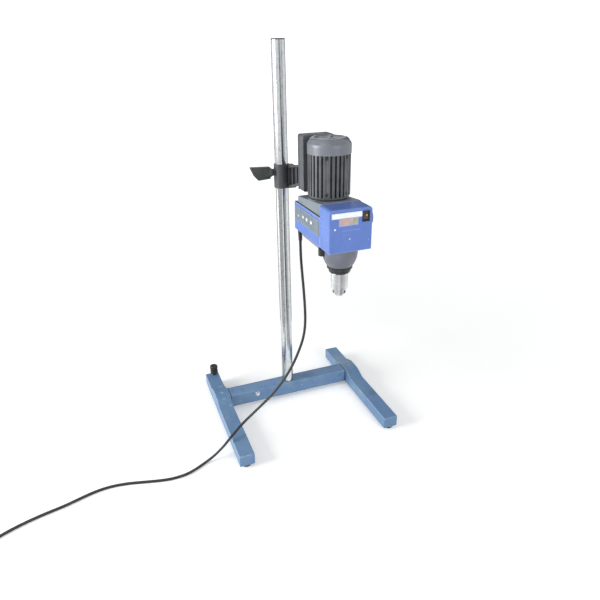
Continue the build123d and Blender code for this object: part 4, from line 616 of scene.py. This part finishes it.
# Display: tinted window, an unlit four-figure numeral and a green field beside it
softened("display_window", 0.25, tinted_window)
window_low, window_high = low("display_window"), high("display_window")
ink_y = window_low.y
segment_bars = {  # of a figure 1 wide and 2 high: left, foot, right, top
    "top": (0.1, 1.9, 0.9, 2.0), "middle": (0.1, 0.95, 0.9, 1.05), "foot": (0.1, 0.0, 0.9, 0.1),
    "upper_left": (0.0, 1.05, 0.1, 1.95), "upper_right": (0.9, 1.05, 1.0, 1.95),
    "lower_left": (0.0, 0.05, 0.1, 0.95), "lower_right": (0.9, 0.05, 1.0, 0.95)}
figure_width, figure_pitch, figure_count = 4.6, 6.6, 4
bars = []
for i in range(figure_count):
    left = window_low.x + 4.0 + figure_pitch * i
    foot = (window_low.z + window_high.z) / 2 - figure_width
    for x0, z0, x1, z1 in segment_bars.values():
        bars.append(((left + figure_width * x0, ink_y - 0.12, foot + figure_width * z0),
                     (left + figure_width * x1, ink_y + 0.1, foot + figure_width * z1)))
plates("display_figures", bars, "head", slot_of["display_window"], unlit_numeral)
plates("display_field", [((window_low.x + 31.5, ink_y - 0.1, window_low.z + 2.0),
                          (window_high.x - 2.0, ink_y + 0.1, window_high.z - 2.0))],
       "head", slot_of["display_window"], green_field)


def ink_spot(radius):
    """The outline of a flat spot of ink, for turned()."""
    return [(0, -0.2), (radius, -0.2), (radius, 0.12), (0, 0.12)]


# Printed marks on the front: a fine rule under the display and three small dots
ink_front, ink_back = front_y - 0.12, front_y + 0.2
plates("front_rule", [((2.4, ink_front, 642.6), (42.8, ink_back, 643.4))],
       "head", "title_white", pale_print)
for end, x, z, radius, ink in (
        ("left", -14.7, 647.7, 2.0, white_print), ("middle", 19.2, 624.1, 1.6, white_print),
        ("right", 63.7, 617.5, 1.1, pale_print)):
    turned("front_dot_" + end, ink_spot(radius), (x, front_y, z), "head", "title_white", ink,
           facing=(0, -1, 0), steps=24)

# Printed marks on the side plate: a row of plain lozenges between two rules
plate_low, plate_high = low("side_plate"), high("side_plate")
side_marks = [(-79.0, 633.0, 3.0), (-110.6, 637.5, 4.2), (-132.2, 637.5, 5.0), (-158.2, 637.5, 5.0)]
for number, (y, z, radius) in enumerate(side_marks, 1):
    turned(f"side_mark_{number}", ink_spot(radius), (plate_low.x, y, z), "head", "title_white",
           white_print, facing=(-1, 0, 0), steps=4)
plates("side_rules", [((plate_low.x - 0.12, plate_low.y + 2, foot),
                       (plate_low.x + 0.2, plate_high.y - 2, top))
                      for foot, top in ((652.4, 653.2), (620.0, 620.6))],
       "head", "title_white", pale_print)

# Controls
softened("switch_frame", 0.4, black_plastic)
softened("power_rocker", 0.3, black_plastic)
rocker = middle("power_rocker")
turned("rocker_lamp", [(0, -1.5), (1.9, -1.5), (1.9, 0.35), (1.2, 0.8), (0, 0.9)],
       (rocker.x + 1.2, low("power_rocker").y + 1.1, rocker.z + 1.0), "rocker", "display_red",
       amber_lens, facing=(0, -1, 0), steps=24)
speed = middle("speed_knob")
knob_in, knob_out = low("speed_knob").x, high("speed_knob").x
speed_outline = [(0, 0), (20.0, 0), (20.3, 0.6), (20.3, 8.4), (19.0, 10.4), (17.4, 11.0),
                 (14.0, 10.6), (0, 10.4)]
speed_grip = turned("speed_knob_grip", speed_outline, (knob_in, speed.y, speed.z), "speed_control",
                    slot_of["speed_knob"], knob_plastic, facing=(1, 0, 0), steps=96)
ribbed(speed_grip, 36, 20.1, 0.8, 7.6, (knob_in + 4.4, speed.y, speed.z), knob_plastic,
       turn=(0, 90, 0))
stand_ins.append((speed_grip, "speed_knob"))
plates("speed_pointer", [((knob_out - 0.9, speed.y - 0.7, speed.z + 6),
                          (knob_out - 0.2, speed.y + 0.7, speed.z + 16))],
       "speed_control", "title_white", white_print)

# Neck and chuck
softened("neck_bell", 0.6, bell_abs)
collar_foot, collar_top = low("neck_collar").z, high("neck_collar").z
collar_outline = [
    (11.2, collar_foot), (20.4, collar_foot), (23.6, collar_foot + 1.2), (24.6, collar_foot + 2.6),
    (25.2, collar_top - 7.9), (27.4, collar_top - 7.3), (28.2, collar_top - 6.4),
    (28.2, collar_top - 0.9), (27.4, collar_top - 0.1), (11.2, collar_top - 0.1)]
collar = turned("neck_collar_ring", collar_outline, (spindle_centre.x, spindle_centre.y, 0),
                "head", slot_of["neck_collar"], black_plastic, steps=72)
ribbed(collar, 30, 27.9, 0.85, 5.0, (spindle_centre.x, spindle_centre.y, collar_top - 3.6),
       black_plastic)
stand_ins.append((collar, "neck_collar"))
sleeve_grip = softened("chuck_sleeve", 0.5, chuck_steel)
sleeve_middle = 509.0
ribbed(sleeve_grip, 48, 18.75, 0.55, 22, (spindle_centre.x, spindle_centre.y, sleeve_middle),
       chuck_steel)
softened("chuck_body", 0.4, chuck_steel)

# Three key holes round the chuck's body, each with a raised rim and a flat black disc in it: painted
# shade for the hole's depth
key_hole_z, key_hole_reach = 484.6, 14.9
for degrees in (0, 120, 240):
    heading = math.radians(degrees + 180)
    out = Vector((math.cos(heading), math.sin(heading), 0))
    hole_place = Vector((spindle_centre.x, spindle_centre.y, key_hole_z)) + out * key_hole_reach
    turned(f"key_hole_rim_{degrees}", [(3.3, -0.9), (4.3, -0.9), (4.1, 0.4), (3.5, 0.4)],
           hole_place, "spindle", slot_of["chuck_body"], chuck_steel, facing=out, steps=32)
    turned(f"key_hole_{degrees}", [(0, -0.8), (3.5, -0.8), (3.5, 0.2), (0, 0.2)],
           hole_place, "spindle", "black_plastic", rubber_and_painted_shade, facing=out, steps=32)

# Strain relief: a tapered sleeve of soft plastic with rings moulded round it
gland = middle("cord_gland")
gland_foot, gland_top = low("cord_gland").z, high("cord_gland").z
housing_foot, relief_rings = 595.0, 5
relief = [(0, gland_top), (4.3, gland_top), (4.3, housing_foot + 0.2), (5.9, housing_foot - 0.2),
          (5.9, housing_foot - 4.8)]
for i in range(relief_rings):
    z = housing_foot - 6.4 - 4.4 * i
    radius = 5.7 - 0.24 * i
    relief += [(radius - 0.9, z + 1.0), (radius - 0.9, z), (radius, z - 0.4), (radius, z - 2.2),
               (radius - 0.9, z - 2.6)]
relief += [(4.1, gland_foot + 0.4), (3.7, gland_foot), (0, gland_foot)]
strain_relief = turned("strain_relief", relief[::-1], (gland.x, gland.y, 0), "head",
                       slot_of["cord_gland"], black_plastic, steps=32)
stand_ins.append((strain_relief, "cord_gland"))

# Plug: a round earthed body with grips, a tapered neck and two pins
plug_x, plug_z = middle("mains_plug").x, 18.0
plug_back = high("mains_plug").y
plug_outline = [
    (0, 0), (5.2, 0), (5.6, 2), (4.9, 3), (5.9, 5), (5.9, 7), (5.2, 8), (6.4, 10), (6.4, 12),
    (5.8, 13), (7.0, 15), (7.4, 18), (8.5, 20), (13, 21.6), (16.4, 24), (17.2, 28), (17.2, 50),
    (17.9, 52), (17.9, 58.6), (17.2, 59.8), (15.5, 60), (15.5, 58.4), (0, 58.4)]
plug = turned("plug_body", plug_outline, (plug_x, plug_back, plug_z), "stand",
              slot_of["mains_plug"], black_plastic, facing=(0, -1, 0), steps=64)
ribbed(plug, 28, 17.0, 0.8, 20, (plug_x, plug_back - 38, plug_z), black_plastic, turn=(90, 0, 0))
stand_ins.append((plug, "mains_plug"))
pin_outline = [(0, 57), (2.4, 57), (2.4, 77), (1.6, 78.8), (0, 79)]
pins = [turned(f"plug_pin_{number}", pin_outline, (plug_x + offset, plug_back, plug_z), "stand",
               "bare_steel", machined_steel, facing=(0, -1, 0), steps=24)
        for number, offset in ((1, -9.5), (2, 9.5))]

# Mains lead: a seven millimetre sheathed cable from the strain relief, over the left leg and away
# across the floor to a small coil beside the view
lead_diameter = 7.0
lying_z = 3.6  # the height of the lead's middle where it lies on the floor
lead_points = [  # each from the column's axis
    (-20.0, -185.0, 568.0), (-20.0, -185.0, 534.0), (-19.6, -189.5, 500.0), (-17.9, -196.0, 450.0),
    (-15.8, -200.5, 390.0), (-16.8, -203.0, 343.0), (-23.4, -203.4, 305.0), (-37.0, -200.8, 265.0),
    (-55.0, -197.0, 222.0), (-80.0, -191.0, 179.0), (-108.0, -184.5, 141.0), (-140.0, -175.5, 106.0),
    (-171.0, -170.5, 76.5), (-196.5, -175.5, 60.0), (-218.0, -194.0, 56.0), (-237.5, -207.5, 50.5),
    (-256.0, -214.0, 36.0), (-271.5, -213.0, 21.5), (-287.5, -214.0, 9.5), (-307.0, -219.5, lying_z),
    (-334.5, -235.0, lying_z), (-361.8, -246.0, lying_z), (-394.5, -249.0, lying_z),
    (-428.0, -244.5, lying_z), (-471.0, -233.0, lying_z), (-511.0, -222.5, lying_z),
    (-548.0, -218.5, lying_z), (-580.0, -221.0, lying_z), (-612.0, -229.5, lying_z),
    (-655.0, -243.5, lying_z), (-712.0, -255.0, lying_z), (-768.0, -273.0, lying_z),
    (-814.0, -296.0, lying_z)]
coil_centre = middle("cord_coil")
coil_stages = [  # angle in degrees, radius and height of the turns, round the coil's middle
    (90, 42.6, lying_z), (360, 42.6, lying_z), (450, 35.4, lying_z), (690, 35.2, lying_z),
    (765, 38.8, 10.3), (1040, 38.8, 10.5), (1110, 45.6, 11.4), (1215, 45.8, 15.0), (1262, 45.8, 18.0)]
coil_step = 22.5
polygon_gain = 1 / math.cos(math.radians(coil_step / 2))  # the spline passes inside its points
route = [Vector((x, y + column_y, z)) * mm for x, y, z in lead_points]
angle = coil_stages[0][0]
while angle < coil_stages[-1][0]:
    start, end = next((a, b) for a, b in zip(coil_stages, coil_stages[1:]) if a[0] <= angle < b[0])
    share = (angle - start[0]) / (end[0] - start[0])
    radius = (start[1] + (end[1] - start[1]) * share) * polygon_gain
    height = start[2] + (end[2] - start[2]) * share
    route.append(Vector((coil_centre.x + radius * math.cos(math.radians(angle)),
                         coil_centre.y + radius * math.sin(math.radians(angle)), height)) * mm)
    angle += coil_step
route.append(Vector((plug_x, plug_back + 6.0, plug_z)) * mm)
route.append(Vector((plug_x, plug_back - 3.0, plug_z)) * mm)


def lead_curve(name, bevel_mm):
    """The lead's own line, as a curve with the given radius."""
    curve = bpy.data.curves.new(name, "CURVE")
    curve.dimensions = "3D"
    curve.resolution_u = 6
    curve.bevel_depth = bevel_mm * mm
    curve.bevel_resolution = 3
    curve.use_fill_caps = bevel_mm > 0
    spline = curve.splines.new("NURBS")
    spline.points.add(len(route) - 1)
    for point, place in zip(spline.points, route):
        point.co = (*place, 1.0)
    spline.order_u = 3
    spline.use_endpoint_u = True
    shape = put(name, curve)
    graph = bpy.context.evaluated_depsgraph_get()
    mesh = bpy.data.meshes.new_from_object(shape.evaluated_get(graph), depsgraph=graph)
    bpy.data.objects.remove(shape)
    return mesh


line = lead_curve("lead_line", 0)
lead = put("mains_lead", lead_curve("mains_lead", lead_diameter / 2))
dress(lead, sheath)

# Every mesh is final here, so the pieces are tied to their bodies
for shape, body, slot in made:
    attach(shape, body)
for shape, node in stand_ins:
    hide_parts(node)
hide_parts("cord_run", "cord_coil")
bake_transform(lead)

# Studio: a white sweep of paper that keeps the stirrer's shadow, and soft light from the left
paper = blank("white_background_paper")
tree = paper.node_tree
rays = add(tree, "ShaderNodeLightPath").outputs
matt = add(tree, "ShaderNodeBsdfDiffuse", {"Color": linear("f4f5f5")})
away = add(tree, "ShaderNodeVectorMath", {
    0: add(tree, "ShaderNodeTexCoord").outputs["Object"]}, operation="LENGTH")
far_glow = add(tree, "ShaderNodeMapRange", {
    "Value": away.outputs["Value"], "From Min": 0.7, "From Max": 2.6,
    "To Min": 0.25, "To Max": 0.6})
glow = add(tree, "ShaderNodeEmission", {"Color": (1, 1, 1, 1), "Strength": far_glow.outputs[0]})
seen = add(tree, "ShaderNodeMath", {
    0: rays["Is Camera Ray"], 1: rays["Is Glossy Ray"]}, operation="MAXIMUM")
lit = add(tree, "ShaderNodeAddShader", {0: matt.outputs[0], 1: glow.outputs[0]})
both = add(tree, "ShaderNodeMixShader", {0: seen.outputs[0], 1: matt.outputs[0], 2: lit.outputs[0]})
add(tree, "ShaderNodeOutputMaterial", {"Surface": both.outputs[0]})
sweep_front, bend_start, bend_radius, sweep_top, sweep_half_width = -4.0, 2.6, 0.9, 3.2, 5.0
sweep_profile = [(sweep_front, 0.0), (bend_start, 0.0)]
sweep_profile += [(bend_start + bend_radius * math.sin(a), bend_radius * (1 - math.cos(a)))
                  for a in bend[1:]]
sweep_profile += [(bend_start + bend_radius, sweep_top)]
corners = [(side * sweep_half_width, y, z) for side in (-1, 1) for y, z in sweep_profile]
count = len(sweep_profile)
sweep = bpy.data.meshes.new("paper_sweep")
sweep.from_pydata(corners, [], [(i, i + count, i + count + 1, i + 1) for i in range(count - 1)])
sweep.polygons.foreach_set("use_smooth", [True] * len(sweep.polygons))
backdrop = put("paper_sweep", sweep)
dress(backdrop, paper)

world = bpy.data.worlds.new("studio")
scene.world = world
world.use_nodes = True
tree = world.node_tree
tree.nodes.clear()
rays = add(tree, "ShaderNodeLightPath").outputs
seen = add(tree, "ShaderNodeMath", {
    0: rays["Is Camera Ray"], 1: rays["Is Glossy Ray"]}, operation="MAXIMUM")
clear = add(tree, "ShaderNodeMath", {
    0: seen.outputs[0], 1: rays["Is Transmission Ray"]}, operation="MAXIMUM")
strength = add(tree, "ShaderNodeMapRange", {
    "Value": clear.outputs[0], "To Min": 0.45, "To Max": 1.0})
sky = add(tree, "ShaderNodeBackground", {"Color": (1, 1, 1, 1), "Strength": strength.outputs[0]})
add(tree, "ShaderNodeOutputWorld", {"Surface": sky.outputs[0]})


def lamp(name, place, target, size, power):
    """A soft square lamp that shines from one point towards another."""
    light = bpy.data.lights.new(name, "AREA")
    light.size = size
    light.energy = power
    shape = put(name, light)
    aim = (Vector(target) - Vector(place)).to_track_quat("-Z", "Y")
    shape.matrix_world = Matrix.Translation(place) @ aim.to_matrix().to_4x4()


lamp("window_lamp", (-2.5, 0.1, 1.1), (0, 0, 0.45), 1.3, 70)
lamp("front_lamp", (0.7, -2.6, 1.2), (0, 0, 0.45), 1.2, 36)


def card_finish(name, level):
    """A card's plain grey, at the brightness that it has in a reflection."""
    material = blank(name)
    shade = add(material.node_tree, "ShaderNodeEmission", {
        "Color": (level, level, level * 1.03, 1)})
    add(material.node_tree, "ShaderNodeOutputMaterial", {"Surface": shade.outputs[0]})
    return material


def dark_card(name, degrees, spread, near, material, wall_height=3.0):
    """A card that only reflections see: it lies on the floor and turns up into a wall, and gives
    the chrome a dark band where it stands, in degrees round the column from the camera."""
    heading = camera_heading + math.pi + math.radians(degrees)
    out = Vector((math.sin(heading), math.cos(heading), 0))
    across = Vector((out.y, -out.x, 0))
    root = Vector((0, column_y * mm, 0.002 + 0.001 * near))
    wall, half = 1.9, math.tan(math.radians(spread / 2))
    corners = []
    for reach, height in ((near, 0), (wall, 0), (wall, wall_height)):
        for side in (-1, 1):
            corners.append(
                root + out * reach + across * (side * reach * half) + Vector((0, 0, height)))
    card = bpy.data.meshes.new(name)
    card.from_pydata(corners, [], [(0, 1, 3, 2), (2, 3, 5, 4)])
    shape = put(name, card)
    dress(shape, material)
    shape.visible_camera = False
    shape.visible_diffuse = False
    shape.visible_shadow = False
    shape.visible_transmission = False


black_card, grey_card, pale_card = (card_finish(n, v) for n, v in (
    ("black_card", 0.03), ("grey_card", 0.25), ("pale_card", 0.55)))
dark_card("card_front", -19, 9, 0.9, black_card)
dark_card("card_front_grey", -27, 26, 0.5, grey_card)
dark_card("card_front_pale", -38, 60, 0.3, pale_card)
dark_card("card_near_side", 42, 76, 0.42, pale_card, 0.3)
dark_card("card_left", 152, 36, 0.5, black_card)
dark_card("card_right", -152, 36, 0.5, black_card)

scene.view_settings.view_transform = "Standard"
